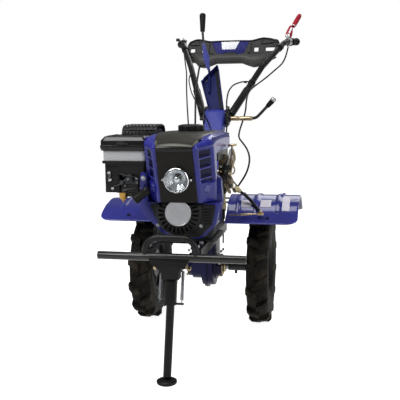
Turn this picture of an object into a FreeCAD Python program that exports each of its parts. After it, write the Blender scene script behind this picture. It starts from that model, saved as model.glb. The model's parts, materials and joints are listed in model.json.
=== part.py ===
import FreeCAD, Part
import Sketcher
import math
import os

from FreeCAD import Placement, Rotation, Vector

# A walk-behind power weeder with a petrol engine, two wheels on one gearbox shaft,
# a folding front stand and a height-adjustable handlebar.
# The machine's nose points to -Y, +X is its own left-hand side and +Z is up.
# Every sub-part is drawn with the axle at Y = 0 and the floor at Z = 0; the placement
# of each one then moves it by axle_y, so that the origin is under the middle of the machine.

DRIVING = {
    "axle_y": -107.9,
    "wheel_r": 210,
    "wheel_x": 215,
    "tread_w": 80,
    "tyre_w": 84,
    "rim_half": 31,
    "rim_r": 104,
    "shaft_r": 14,
    "hub_tube_r": 18.5,
    "gear_half": 46,
    "gear_foot_r": 76,
    "gear_top_z": 560,
    "crank_x": 17,
    "crank_z": 498,
    "engine_front_y": -450,
    "engine_back_y": -270,
    "engine_base_z": 392,
    "rail_x": 76,
    "rail_w": 30,
    "bar_y": -580,
    "bar_z": 368,
    "bar_half": 229,
    "bar_r": 12.5,
    "bar_wall": 2.5,
    "hoop_half": 78,
    "hoop_top_z": 437,
    "hoop_r": 10,
    "stand_y": -562,
    "stand_z": 331,
    "stand_lean": 15.4,
    "foot_r": 31,
    "hood_x": 22,
    "hood_front_y": -556,
    "hood_back_y": -232,
    "hood_half": 105,
    "hood_face_half": 62,
    "hood_low_z": 531,
    "hood_lip_z": 697,
    "hood_lean": 68,
    "hood_top_z": 739,
    "lamp_r": 38,
    "lamp_z": 604,
    "fender_w": 254,
    "fender_in": 104,
    "fender_top_z": 490,
    "fender_drop": 28,
    "fender_lip_z": 408,
    "hitch_pin_y": 232,
    "pivot_y": 240,
    "pivot_z": 762,
    "column_half": 35,
    "tube_r": 12.7,
    "tube_wall": 2.5,
    "grip_x": 285,
    "grip_y": 890,
    "grip_z": 1112,
}


class Dim(float):
    """A number that remembers the spreadsheet formula it comes from."""

    def __new__(cls, value, formula):
        dim = super().__new__(cls, value)
        dim.formula = formula
        return dim

    def __add__(self, other):
        return combined(self, "+", other, float(self) + float(other))

    def __radd__(self, other):
        return combined(other, "+", self, float(other) + float(self))

    def __sub__(self, other):
        return combined(self, "-", other, float(self) - float(other))

    def __rsub__(self, other):
        return combined(other, "-", self, float(other) - float(self))

    def __mul__(self, other):
        return combined(self, "*", other, float(self) * float(other))

    def __rmul__(self, other):
        return combined(other, "*", self, float(other) * float(self))

    def __truediv__(self, other):
        return combined(self, "/", other, float(self) / float(other))

    def __neg__(self):
        return combined(0, "-", self, -float(self))


def formula_of(term):
    """The text a formula uses for this term."""
    return term.formula if isinstance(term, Dim) else repr(round(float(term), 6))


def combined(left, sign, right, value):
    """The Dim of one sum, difference, product or quotient."""
    return Dim(value, f"({formula_of(left)} {sign} {formula_of(right)})")


class Cells:
    """The driving dimensions as attributes, each bound to its own spreadsheet cell."""

    def __init__(self, document, values):
        sheet = document.addObject("Spreadsheet::Sheet", "Dims")
        for row, (alias, value) in enumerate(values.items(), start=1):
            sheet.set(f"A{row}", alias)
            sheet.set(f"B{row}", str(value))
            sheet.setAlias(f"B{row}", alias)
            setattr(self, alias, Dim(value, f"Dims.{alias}"))


doc = FreeCAD.newDocument("power_weeder")
d = Cells(doc, DRIVING)
doc.recompute()
nodes = []


def bind(thing, path, value):
    """Set one property from a number, or from a formula where the number has one."""
    if isinstance(value, Dim):
        thing.setExpression(path, value.formula)
    else:
        owner = thing
        *parents, last = path.split(".")
        if not parents:
            setattr(owner, last, value)
        elif parents[0] == "Placement" or parents[0] == "AttachmentOffset":
            placement = getattr(owner, parents[0])
            setattr(placement.Base, last, float(value))
            setattr(owner, parents[0], placement)


def place(thing, x=0.0, y=0.0, z=0.0, turn=None):
    """Put an object at a point, with an optional turn given as (axis, degrees)."""
    if turn is not None:
        thing.Placement = Placement(Vector(), Rotation(Vector(*turn[0]), float(turn[1])))
    bind(thing, "Placement.Base.x", x)
    bind(thing, "Placement.Base.y", y)
    bind(thing, "Placement.Base.z", z)
    return thing


def place_turned(thing, x, y, z):
    """Move an object and keep the turn it already has."""
    bind(thing, "Placement.Base.x", x)
    bind(thing, "Placement.Base.y", y)
    bind(thing, "Placement.Base.z", z)


def node(thing, label, x=0.0, y=0.0, z=0.0, turn=None):
    """Name a finished sub-part and place it; its file takes the same name."""
    thing.Label = label
    place(thing, x, d.axle_y + y, z, turn)
    nodes.append(thing)
    return thing


# ---- PartDesign helpers -------------------------------------------------------------


def new_body(name):
    return doc.addObject("PartDesign::Body", name)


def sketch_on(body, plane, at=(0.0, 0.0, 0.0)):
    """A sketch on one of the body's own origin planes, moved to (right, up, out) of it."""
    sketch = body.newObject("Sketcher::SketchObject", "Sketch")
    support = next(part for part in body.Origin.OriginFeatures if part.Role == plane)
    sketch.AttachmentSupport = [(support, "")]
    sketch.MapMode = "FlatFace"
    bind(sketch, "AttachmentOffset.Base.x", at[0])
    bind(sketch, "AttachmentOffset.Base.y", at[1])
    bind(sketch, "AttachmentOffset.Base.z", at[2])
    return sketch


def dimension(sketch, kind, *terms):
    """Add a dimensional constraint whose last term may be a Dim."""
    index = sketch.addConstraint(Sketcher.Constraint(kind, *terms[:-1], float(terms[-1])))
    if isinstance(terms[-1], Dim):
        sketch.setExpression(f"Constraints[{index}]", terms[-1].formula)
    return index


def draw_circle(sketch, x, y, radius):
    """A circle held by its centre and its radius."""
    circle = Part.Circle(Vector(float(x), float(y), 0), Vector(0, 0, 1), float(radius))
    index = sketch.addGeometry(circle, False)
    dimension(sketch, "Radius", index, radius)
    dimension(sketch, "DistanceX", -1, 1, index, 3, x)
    dimension(sketch, "DistanceY", -1, 1, index, 3, y)


def draw_outline(sketch, corners):
    """A closed outline of straight runs. A corner's third number rounds it."""
    count = len(corners)
    points = [Vector(float(c[0]), float(c[1]), 0) for c in corners]
    radii = [c[2] if len(c) > 2 else 0.0 for c in corners]
    cuts = []
    for i, point in enumerate(points):
        back = (points[i - 1] - point).normalize()
        ahead = (points[(i + 1) % count] - point).normalize()
        half = back.getAngle(ahead) / 2
        reach = float(radii[i]) / math.tan(half) if radii[i] else 0.0
        cuts.append((point + back * reach, point + ahead * reach, back, ahead, half))
    lines = []
    for i in range(count):
        run = Part.LineSegment(cuts[i][1], cuts[(i + 1) % count][0])
        lines.append(sketch.addGeometry(run, False))
    for i, corner in enumerate(corners):
        before, after = lines[i - 1], lines[i]
        if not radii[i]:
            sketch.addConstraint(Sketcher.Constraint("Coincident", before, 2, after, 1))
            dimension(sketch, "DistanceX", -1, 1, after, 1, corner[0])
            dimension(sketch, "DistanceY", -1, 1, after, 1, corner[1])
            continue
        first, second, back, ahead, half = cuts[i]
        centre = points[i] + (back + ahead).normalize() * (float(radii[i]) / math.sin(half))
        left_turn = back.cross(ahead).z < 0
        ends = (first, second) if left_turn else (second, first)
        angles = [math.atan2(e.y - centre.y, e.x - centre.x) for e in ends]
        round_edge = Part.Circle(centre, Vector(0, 0, 1), float(radii[i]))
        arc = sketch.addGeometry(Part.ArcOfCircle(round_edge, angles[0], angles[1]), False)
        start, stop = (1, 2) if left_turn else (2, 1)
        sketch.addConstraint(Sketcher.Constraint("Tangent", before, 2, arc, start))
        sketch.addConstraint(Sketcher.Constraint("Tangent", arc, stop, after, 1))
        dimension(sketch, "Radius", arc, radii[i])
        mark = sketch.addGeometry(Part.Point(points[i]), True)
        sketch.addConstraint(Sketcher.Constraint("PointOnObject", mark, 1, before))
        sketch.addConstraint(Sketcher.Constraint("PointOnObject", mark, 1, after))
        dimension(sketch, "DistanceX", -1, 1, mark, 1, corner[0])
        dimension(sketch, "DistanceY", -1, 1, mark, 1, corner[1])


def box_corners(x0, x1, y0, y1, radius=0.0):
    """The four corners of a rectangle."""
    return [(x0, y0, radius), (x1, y0, radius), (x1, y1, radius), (x0, y1, radius)]


PLANES = {"X": "YZ_Plane", "Y": "XZ_Plane", "Z": "XY_Plane"}


def sketch_across(body, axis, start, end):
    """A sketch square to an axis, at the end from which a pad along its normal fills start to end."""
    lift = -end if axis == "Y" else start
    return sketch_on(body, PLANES[axis], (0.0, 0.0, lift))


def pad(body, axis, start, end, *outlines):
    """Extrude outlines from start to end along an axis; a 3-number outline is a circle."""
    sketch = sketch_across(body, axis, start, end)
    draw_all(sketch, outlines)
    feature = body.newObject("PartDesign::Pad", "Pad")
    feature.Profile = sketch
    bind(feature, "Length", end - start)
    return finished(body, sketch, feature)


def leaning_pad(body, start, length, direction, *outlines):
    """Extrude outlines from a level plane along a leaning direction, to a slant length."""
    sketch = sketch_on(body, "XY_Plane", (0.0, 0.0, start))
    draw_all(sketch, outlines)
    feature = body.newObject("PartDesign::Pad", "LeaningPad")
    feature.Profile = sketch
    feature.UseCustomVector = True
    feature.Direction = Vector(*direction)
    feature.AlongSketchNormal = False
    bind(feature, "Length", length)
    return finished(body, sketch, feature)


def leaning_pocket(body, start, length, direction, *outlines):
    """Cut outlines away from a level plane along a leaning direction, to a slant length."""
    sketch = sketch_on(body, "XY_Plane", (0.0, 0.0, start))
    draw_all(sketch, outlines)
    before = body.Tip.Shape.Volume
    feature = body.newObject("PartDesign::Pocket", "LeaningPocket")
    feature.Profile = sketch
    feature.UseCustomVector = True
    feature.Direction = Vector(*direction)
    feature.AlongSketchNormal = False
    bind(feature, "Length", length)
    finished(body, sketch, feature)
    if not feature.Shape.Volume < before - 0.01:
        raise RuntimeError(f"{body.Label}: the leaning pocket removes nothing")
    return feature


def pocket(body, axis, start, end, *outlines):
    """Cut outlines away from start to end along an axis."""
    sketch = sketch_across(body, axis, start, end)
    draw_all(sketch, outlines)
    before = body.Tip.Shape.Volume
    feature = body.newObject("PartDesign::Pocket", "Pocket")
    feature.Profile = sketch
    feature.Reversed = True
    bind(feature, "Length", end - start)
    finished(body, sketch, feature)
    if not feature.Shape.Volume < before - 0.01:
        raise RuntimeError(f"{body.Label}: the pocket removes nothing")
    return feature


def draw_all(sketch, outlines):
    for outline in outlines:
        if len(outline) == 3 and not isinstance(outline[0], (tuple, list)):
            draw_circle(sketch, *outline)
        else:
            draw_outline(sketch, outline)


def finished(body, sketch, feature):
    """Recompute a feature, hide its sketch and stop the build if it failed."""
    sketch.Visibility = False
    body.Tip = feature
    doc.recompute()
    if feature.Shape.isNull() or not feature.isValid():
        raise RuntimeError(f"{body.Label}: {feature.Name} failed {feature.State}")
    return feature


def turned(body, axis, at, corners, cut=False, angle=360.0):
    """Revolve a profile of (along the axis, radius) corners about an axis through a point."""
    x, y, z = at
    if axis == "Y":
        sketch = sketch_on(body, "YZ_Plane", (y, z, x))
    else:
        sketch = sketch_on(body, "XZ_Plane", (x, z, -y))
    if axis == "Z":
        draw_outline(sketch, [(c[1], c[0], *c[2:]) for c in corners])
    else:
        draw_outline(sketch, corners)
    kind = "PartDesign::Groove" if cut else "PartDesign::Revolution"
    before = body.Tip.Shape.Volume if cut else 0.0
    feature = body.newObject(kind, "Turned")
    feature.Profile = sketch
    feature.ReferenceAxis = (sketch, ["V_Axis" if axis == "Z" else "H_Axis"])
    feature.Angle = angle
    finished(body, sketch, feature)
    if cut and not feature.Shape.Volume < before - 0.01:
        raise RuntimeError(f"{body.Label}: the groove removes nothing")
    return feature


def edges_where(shape, test):
    """The names of the edges whose middle point and direction pass a test."""
    names = []
    for i, edge in enumerate(shape.Edges, start=1):
        middle = edge.valueAt((edge.FirstParameter + edge.LastParameter) / 2)
        run = edge.Vertexes[-1].Point - edge.Vertexes[0].Point
        if test(middle, run):
            names.append(f"Edge{i}")
    return names


def rounded(body, radius, test, kind="PartDesign::Fillet"):
    """Fillet or chamfer the edges of the body's tip that pass a test."""
    base = body.Tip
    names = edges_where(base.Shape, test)
    if not names:
        raise RuntimeError(f"{body.Label}: no edge to round")
    feature = body.newObject(kind, "Rounding")
    feature.Base = (base, names)
    size = "Radius" if kind.endswith("Fillet") else "Size"
    bind(feature, size, radius)
    body.Tip = feature
    doc.recompute()
    if feature.Shape.isNull() or not feature.isValid():
        raise RuntimeError(f"{body.Label}: rounding failed {feature.State}")
    return feature


def repeated(body, feature, axis_role, count, angle=360.0):
    """Repeat a feature about one of the body's origin axes."""
    pattern = body.newObject("PartDesign::PolarPattern", "Polar")
    pattern.Originals = [feature]
    axis = next(part for part in body.Origin.OriginFeatures if part.Role == axis_role)
    pattern.Axis = (axis, [""])
    pattern.Angle = angle
    pattern.Occurrences = count
    body.Tip = pattern
    doc.recompute()
    if pattern.Shape.isNull() or not pattern.isValid():
        raise RuntimeError(f"{body.Label}: the pattern failed")
    return pattern


def in_a_row(body, feature, axis_role, length, count):
    """Repeat a feature in a straight row along one of the body's axes."""
    row = body.newObject("PartDesign::LinearPattern", "Row")
    row.Originals = [feature]
    axis = next(part for part in body.Origin.OriginFeatures if part.Role == axis_role)
    row.Direction = (axis, [""])
    row.Length = length
    row.Occurrences = count
    body.Tip = row
    doc.recompute()
    if row.Shape.isNull() or not row.isValid():
        raise RuntimeError(f"{body.Label}: the row failed")
    return row


# ---- Part helpers -------------------------------------------------------------------


def rod(start, end, radius):
    """A round bar between two points."""
    start = Vector(*[float(c) for c in start])
    run = Vector(*[float(c) for c in end]) - start
    bar = doc.addObject("Part::Cylinder", "Rod")
    bind(bar, "Radius", radius)
    bar.Height = run.Length
    bar.Placement = Placement(start, Rotation(Vector(0, 0, 1), run))
    return bar


def block(x0, x1, y0, y1, z0, z1):
    """A box between six planes."""
    box = doc.addObject("Part::Box", "Block")
    bind(box, "Length", x1 - x0)
    bind(box, "Width", y1 - y0)
    bind(box, "Height", z1 - z0)
    return place(box, x0, y0, z0)


def disc(axis, at, radius, length):
    """A cylinder that starts at a point and runs along +X, +Y or +Z."""
    cylinder = doc.addObject("Part::Cylinder", "Disc")
    bind(cylinder, "Radius", radius)
    bind(cylinder, "Height", length)
    turns = {"X": ((0, 1, 0), 90), "Y": ((1, 0, 0), -90), "Z": None}
    return place(cylinder, at[0], at[1], at[2], turns[axis])


def fused(*shapes):
    union = doc.addObject("Part::MultiFuse", "Fusion")
    union.Shapes = list(shapes)
    return union


def cut(base, *tools):
    tool = tools[0] if len(tools) == 1 else fused(*tools)
    difference = doc.addObject("Part::Cut", "Cut")
    difference.Base = base
    difference.Tool = tool
    return difference


def bent_wire(points, bends):
    """Straight runs through the points, each inner corner rounded to its bend radius."""
    points = [Vector(*[float(c) for c in p]) for p in points]
    edges = []
    start = points[0]
    for i in range(1, len(points) - 1):
        back = (points[i - 1] - points[i]).normalize()
        ahead = (points[i + 1] - points[i]).normalize()
        half = back.getAngle(ahead) / 2
        radius = bends[i - 1] if isinstance(bends, (list, tuple)) else bends
        reach = float(radius) / math.tan(half)
        first = points[i] + back * reach
        last = points[i] + ahead * reach
        centre = points[i] + (back + ahead).normalize() * (float(radius) / math.sin(half))
        middle = centre + (points[i] - centre).normalize() * float(radius)
        edges.append(Part.makeLine(start, first))
        edges.append(Part.Arc(first, middle, last).toShape())
        start = last
    edges.append(Part.makeLine(start, points[-1]))
    return Part.Wire(edges)


def bent_bar(points, bends, radius):
    """A round section swept along bent runs."""
    path = doc.addObject("Part::Feature", "Path")
    path.Shape = bent_wire(points, bends)
    section = doc.addObject("Part::Circle", "Section")
    bind(section, "Radius", radius)
    start = Vector(*[float(c) for c in points[0]])
    run = Vector(*[float(c) for c in points[1]]) - start
    section.Placement = Placement(start, Rotation(Vector(0, 0, 1), run))
    sweep = doc.addObject("Part::Sweep", "Sweep")
    sweep.Sections = [section]
    sweep.Spine = (path, [f"Edge{i + 1}" for i in range(len(path.Shape.Edges))])
    sweep.Solid = True
    sweep.Frenet = False
    return sweep


def bent_tube(points, bends, radius, wall):
    """A hollow tube along bent runs, open at both ends."""
    return cut(bent_bar(points, bends, radius), bent_bar(points, bends, radius - wall))


# ---- running gear: one shaft with both wheels ------------------------------------------

gear_z = d.wheel_r


def build_tyre(label, side):
    """A hollow tyre: tread, shoulders and side walls down to the rim's beads."""
    half = d.tyre_w / 2
    tread = d.tread_w / 2
    body = new_body(label)
    profile = [
        (-d.rim_half, d.rim_r),
        (-half, d.rim_r + 34, 16),
        (-half, d.wheel_r - 26, 12),
        (-tread, d.wheel_r, 5),
        (tread, d.wheel_r, 5),
        (half, d.wheel_r - 26, 12),
        (half, d.rim_r + 34, 16),
        (d.rim_half, d.rim_r),
        (d.rim_half - 10, d.rim_r),
        (half - 12, d.rim_r + 38, 8),
        (tread - 14, d.wheel_r - 22, 8),
        (-tread + 14, d.wheel_r - 22, 8),
        (-half + 12, d.rim_r + 38, 8),
        (-d.rim_half + 10, d.rim_r),
    ]
    turned(body, "X", (0.0, 0.0, 0.0), profile)
    node(body, label, side * d.wheel_x, 0.0, gear_z)


def build_wheel_rims():
    """Two pressed rims: a dropped well for the tyre and a dished centre on a boss."""
    halves = []
    for side in (-1, 1):
        body = new_body("rim")
        half = d.rim_half
        inner = -side * 8
        profile = [
            (-half, d.rim_r - 0.5),
            (-half, d.rim_r - 4),
            (-22, d.rim_r - 12),
            (inner - 3, d.rim_r - 12),
            (inner - 3, 18.0),
            (inner + 3, 18.0),
            (inner + 3, d.rim_r - 12),
            (22, d.rim_r - 12),
            (half, d.rim_r - 4),
            (half, d.rim_r - 0.5),
            (23, d.rim_r - 8),
            (-23, d.rim_r - 8),
        ]
        turned(body, "X", (0.0, 0.0, 0.0), profile)
        slots = pocket(body, "X", inner - 4, inner + 4, (0.0, 62.0, 13.0))
        repeated(body, slots, "X_Axis", 6)
        bolts = pocket(body, "X", inner - 4, inner + 4, (0.0, 37.0, 5.5))
        repeated(body, bolts, "X_Axis", 4)
        place(body, side * d.wheel_x, 0.0, gear_z)
        halves.append(body)
    node(fused(*halves), "wheel_rims")


def build_axle_shaft():
    """The output shaft: round in the gearbox, six-sided outside it."""
    body = new_body("axle_shaft")
    reach = d.gear_half + 24
    pad(body, "X", -reach, reach, (0.0, 0.0, d.shaft_r))
    flats = 13.0
    corner = flats / math.cos(math.pi / 6)
    hexagon = [
        (corner * math.cos(math.radians(60 * i)), corner * math.sin(math.radians(60 * i)))
        for i in range(6)
    ]
    pad(body, "X", -d.wheel_x + 6, -reach, hexagon)
    pad(body, "X", reach, d.wheel_x - 6, hexagon)
    node(body, "axle_shaft", 0.0, 0.0, gear_z)


def build_wheel_hubs():
    """Sleeves on the six-sided shaft, each with a flange for the rim and a cross pin."""
    inner_end = d.gear_half + 42
    sleeves = []
    for side in (-1, 1):
        body = new_body("hub")
        plate = d.wheel_x - 11
        profile = [
            (inner_end, 15.2),
            (inner_end, d.hub_tube_r),
            (plate - 9, d.hub_tube_r),
            (plate - 9, 52.0),
            (plate, 52.0),
            (plate, 17.8),
            (plate + 12, 17.8),
            (plate + 12, 15.2),
        ]
        turned(body, "X", (0.0, 0.0, 0.0), profile)
        if side < 0:
            body.Placement = Placement(Vector(), Rotation(Vector(0, 0, 1), 180))
        bind(body, "Placement.Base.z", gear_z)
        low = rod((side * 116, 0.0, d.wheel_r - 30), (side * 116, 0.0, d.wheel_r - 15.2), 5.0)
        high = rod((side * 116, 0.0, d.wheel_r + 15.2), (side * 116, 0.0, d.wheel_r + 30), 5.0)
        sleeves += [body, low, high]
    node(fused(*sleeves), "wheel_hubs")


build_tyre("left_tyre", 1)
build_tyre("right_tyre", -1)
build_wheel_rims()
build_axle_shaft()
build_wheel_hubs()

# ---- gearbox and frame -----------------------------------------------------------------

tower_y0 = -190
tower_y1 = 128


def gearbox_outline(grow, foot_r):
    """The side view of the gear case: a round foot on the axle under a long upper box."""
    foot = foot_r + grow
    return [
        (-foot, -foot, foot - 0.5),
        (foot, -foot, foot - 0.5),
        (foot, 150, 20),
        (tower_y1 + grow, 210, 20),
        (tower_y1 + grow, d.gear_top_z - gear_z + grow, 26),
        (tower_y0 - grow, d.gear_top_z - gear_z + grow, 26),
        (tower_y0 - grow, 186, 20),
        (-foot, 140, 30),
    ]


def build_gearbox():
    """Two cast halves with a flanged joint, bearing bosses and an inspection lid."""
    body = new_body("gearbox")
    half = d.gear_half
    pad(body, "X", -half, half, gearbox_outline(0, d.gear_foot_r - 24))
    pad(body, "X", -6.0, half - 8, gearbox_outline(0, d.gear_foot_r))
    pad(body, "X", 4.0, 16.0, gearbox_outline(8, d.gear_foot_r))
    upper = [
        (tower_y0 + 10, 205, 18),
        (tower_y1 - 10, 232, 18),
        (tower_y1 - 10, d.gear_top_z - gear_z - 12, 18),
        (tower_y0 + 10, d.gear_top_z - gear_z - 12, 18),
    ]
    pad(body, "X", -half - 13, half + 13, upper)
    pad(body, "X", -half - 18, half + 18, (0.0, 0.0, 44.0))
    pocket(body, "X", -half - 30, half + 30, (0.0, 0.0, d.shaft_r + 0.05))
    node(body, "gearbox", 0.0, 0.0, gear_z)


def build_bearing_caps():
    """Zinc-plated seal carriers bolted on both bearing bosses."""
    caps = []
    for side in (-1, 1):
        face = d.gear_half + 18
        body = new_body("cap")
        profile = [(0.0, 15.5), (0.0, 36.0), (5.0, 36.0), (9.0, 24.0), (14.0, 24.0), (14.0, 15.5)]
        turned(body, "X", (0.0, 0.0, 0.0), profile)
        if side < 0:
            body.Placement = Placement(Vector(), Rotation(Vector(0, 0, 1), 180))
        place_turned(body, side * face, 0.0, gear_z)
        caps.append(body)
    node(fused(*caps), "bearing_caps")


def build_clutch_housing():
    """The bell between the engine flange and the gear case."""
    body = new_body("clutch_housing")
    back = d.engine_back_y
    profile = [
        (back, 0.0),
        (back, 88.0),
        (back + 14, 88.0),
        (back + 24, 76.0),
        (tower_y0 - 26, 66.0),
        (tower_y0 - 26, 74.0),
        (tower_y0 - 10, 74.0),
        (tower_y0 - 10, 0.0),
    ]
    turned(body, "Y", (0.0, 0.0, 0.0), profile)
    node(body, "clutch_housing", d.crank_x / 2, 0.0, d.crank_z - 30)


def build_engine_bed():
    """Two angle rails from the front bar to the gear case, tied by two flat cross-members."""
    parts = []
    top = d.engine_base_z
    inner = d.rail_x - d.rail_w / 2
    outer = d.rail_x + d.rail_w / 2
    bar_back = d.bar_y + d.bar_r + 0.05
    back = -60
    for side in (-1, 1):
        low, high = (inner, outer) if side > 0 else (-outer, -inner)
        wall_low = outer - 4 if side > 0 else -outer
        parts.append(block(low, high, bar_back, back, top - 4, top))
        parts.append(block(wall_low, wall_low + 4, bar_back, back, top - 34, top - 3.9))
        foot_low = d.gear_half + 13.2 if side > 0 else -outer
        foot_high = outer if side > 0 else -d.gear_half - 13.2
        parts.append(block(foot_low, foot_high, -150, back, top - 4, top))
    parts.append(block(-inner - 1, inner + 1, d.engine_front_y - 20, d.engine_front_y + 16, top - 4, top))
    parts.append(block(-inner - 1, inner + 1, d.engine_back_y - 44, d.engine_back_y - 16, top - 4, top))
    node(fused(*parts), "engine_bed")


def build_front_crossbar():
    """An open tube across the nose with a pin hole near each end."""
    body = new_body("front_crossbar")
    pad(body, "X", -d.bar_half, d.bar_half, (0.0, 0.0, d.bar_r))
    pocket(body, "X", -d.bar_half, d.bar_half, (0.0, 0.0, d.bar_r - d.bar_wall))
    pocket(body, "Z", -20.0, 20.0, (-d.bar_half + 22, 0.0, 4.0), (d.bar_half - 22, 0.0, 4.0))
    node(body, "front_crossbar", 0.0, d.bar_y, d.bar_z)


def bar_space():
    """The space the crossbar takes, for coping what is welded to it."""
    return disc("X", (-d.bar_half, d.bar_y, d.bar_z), d.bar_r + 0.05, 2 * d.bar_half)


def build_front_hoop():
    """A bent tube that stands on the crossbar and guards the fan cover."""
    low = d.bar_z + 4
    high = d.hoop_top_z - d.hoop_r
    route = [
        (-d.hoop_half, d.bar_y, low),
        (-d.hoop_half, d.bar_y, high),
        (d.hoop_half, d.bar_y, high),
        (d.hoop_half, d.bar_y, low),
    ]
    node(cut(bent_tube(route, 40.0, d.hoop_r, 2.0), bar_space()), "front_hoop")


def build_stand_bracket():
    """Two ears under the crossbar that carry the stand's pivot pin, and the stop bar."""
    parts = []
    for side in (-1, 1):
        inner = 21.3
        low = inner if side > 0 else -inner - 5
        parts.append(block(low, low + 5, d.bar_y - 8, d.stand_y + 24, d.stand_z - 15, d.bar_z - 9))
    parts.append(block(-48.0, 48.0, d.bar_y - 2, d.stand_y + 30, d.bar_z - 14, d.bar_z - 9))
    parts.append(rod((-28, d.stand_y, d.stand_z), (28, d.stand_y, d.stand_z), 6.0))
    stop_y = d.stand_y - 26.6
    stop_z = d.stand_z - 23.8
    parts.append(rod((-26.3, stop_y, stop_z), (26.3, stop_y, stop_z), 4.0))
    for side in (-1, 1):
        low = 21.3 if side > 0 else -26.3
        parts.append(block(low, low + 5, stop_y - 6, d.stand_y + 6, stop_z - 6, d.stand_z - 10))
    node(cut(fused(*parts), bar_space()), "stand_bracket")


def build_rear_hitch():
    """A square-backed socket behind the gear case for a drag stake, with a locking pin hole."""
    body = new_body("rear_hitch")
    face = tower_y1 + 9
    y = d.hitch_pin_y
    pad(body, "Z", 372, 452, box_corners(-28.0, 28.0, y - 28, y + 28, 6.0))
    pad(body, "Z", 384, 440, box_corners(-18.0, 18.0, face, y - 20))
    pad(body, "Y", face - 0.9, face + 7, box_corners(-52.0, 52.0, 362, 462, 8.0))
    pocket(body, "Z", 360, 460, (0.0, y, 16.0))
    pocket(body, "X", -40, 40, (y, 412, 6.25))
    node(body, "rear_hitch")


build_gearbox()
build_bearing_caps()
build_clutch_housing()
build_engine_bed()
build_front_crossbar()
build_front_hoop()
build_stand_bracket()
build_rear_hitch()

# ---- fenders ---------------------------------------------------------------------------


def fender_outline(grow, skin, top):
    """The guard's side view: a sloping front lip, a short rise, a falling crown and a rear slope."""
    lip = d.fender_lip_z + grow
    outer = [
        (-200, lip + 5, 0),
        (-146, lip + 36, 12),
        (-118, top + grow - 15, 20),
        (-40, top + grow, 60),
        (60, top + grow - 13, 90),
        (128, top + grow - 42, 50),
        (180, lip, 24),
        (208, lip - 6, 0),
    ]
    inner = [(y, z - skin, max(r - skin, 0)) for y, z, r in reversed(outer)]
    return outer + inner


def build_fender(label, side):
    """A pressed guard over one wheel, with swept outer corners and three raised ribs."""
    body = new_body(label)
    width = d.fender_w
    top = d.fender_top_z if side > 0 else d.fender_top_z - d.fender_drop
    pad(body, "X", 0.0, width, fender_outline(0, 2.5, top))
    for centre in (40, 104, 182):
        start = centre if side > 0 else width - centre
        pad(body, "X", start - 7, start + 7, fender_outline(3, 4, top))
    pad(body, "X", 0.0, width, (-198.0, d.fender_lip_z + 1.5, 4.5))
    outer = width if side > 0 else 0.0
    inward = -1 if side > 0 else 1
    sweep = [(126, 0), (90, 7), (56, 19), (30, 34), (10, 50), (0, 66)]
    front = [(outer - inward * 2, -206.0)]
    front += [(outer + inward * x, y - 206.0) for x, y in sweep]
    front.append((outer - inward * 2, -140.0))
    rear = [(outer - inward * 2, 212.0)]
    rear += [(outer + inward * x, 212.0 - y) for x, y in ((46, 0), (30, 10), (10, 28), (0, 52))]
    rear.append((outer - inward * 2, 160.0))
    pocket(body, "Z", 380, 500, front)
    pocket(body, "Z", 380, 500, rear)
    hole = width - 106 if side > 0 else 106
    pocket(body, "Z", 380, 440, (hole, -176, 4.0))
    node(body, label, d.fender_in if side > 0 else -d.fender_in - d.fender_w)


def build_fender_stays():
    """Two bars on each side of the gear case that carry the guards."""
    parts = []
    for side in (-1, 1):
        top = d.fender_top_z - 30 if side > 0 else d.fender_top_z - d.fender_drop - 30
        near = d.gear_half + 13.2
        far = d.fender_in + d.fender_w - 40
        bar = (near, far) if side > 0 else (-far, -near)
        leg = (near, near + 4) if side > 0 else (-near - 4, -near)
        for y in (-66, 44):
            parts.append(block(*bar, y, y + 22, top, top + 4))
            parts.append(block(*leg, y, y + 22, top - 38, top - 0.1))
    node(fused(*parts), "fender_stays")


build_fender("left_fender", 1)
build_fender("right_fender", -1)
build_fender_stays()

# ---- engine ----------------------------------------------------------------------------

shroud_front = d.engine_front_y - 72


def build_engine_block():
    """The crankcase, standing on its foot flange."""
    body = new_body("engine_block")
    x = d.crank_x
    base = d.engine_base_z
    front, back = d.engine_front_y, d.engine_back_y
    pad(body, "Y", front, back, box_corners(x - 92, x + 92, base + 8, d.crank_z + 84, 22.0))
    pad(body, "Z", base, base + 9, box_corners(x - 98, x + 98, front - 6, back - 16, 8.0))
    node(body, "engine_block")


def build_cylinder_head():
    """The finned barrel and head, leaning out of the crankcase to the right."""
    body = new_body("finned_head")
    pad(body, "Z", 60.0, 186.0, box_corners(-44.0, 44.0, -50.0, 50.0, 10.0))
    for i in range(7):
        low = 78 + 11 * i
        pad(body, "Z", low, low + 3.5, box_corners(-56.0, 56.0, -64.0, 64.0, 14.0))
    pad(body, "Z", 158.0, 196.0, box_corners(-52.0, 52.0, -58.0, 58.0, 12.0))
    body.Placement = Placement(Vector(), Rotation(Vector(0, 1, 0), -65))
    place_turned(body, d.crank_x, -365, d.crank_z + 8)
    crankcase = block(d.crank_x - 92.1, d.crank_x + 92.1, -450, -270, 392, d.crank_z + 84.1)
    node(cut(body, crankcase), "cylinder_head")


def shrunk(corners, cx, cy, factor):
    """The same outline drawn in towards a point."""
    return [(cx + (c[0] - cx) * factor, cy + (c[1] - cy) * factor, c[2]) for c in corners]


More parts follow.
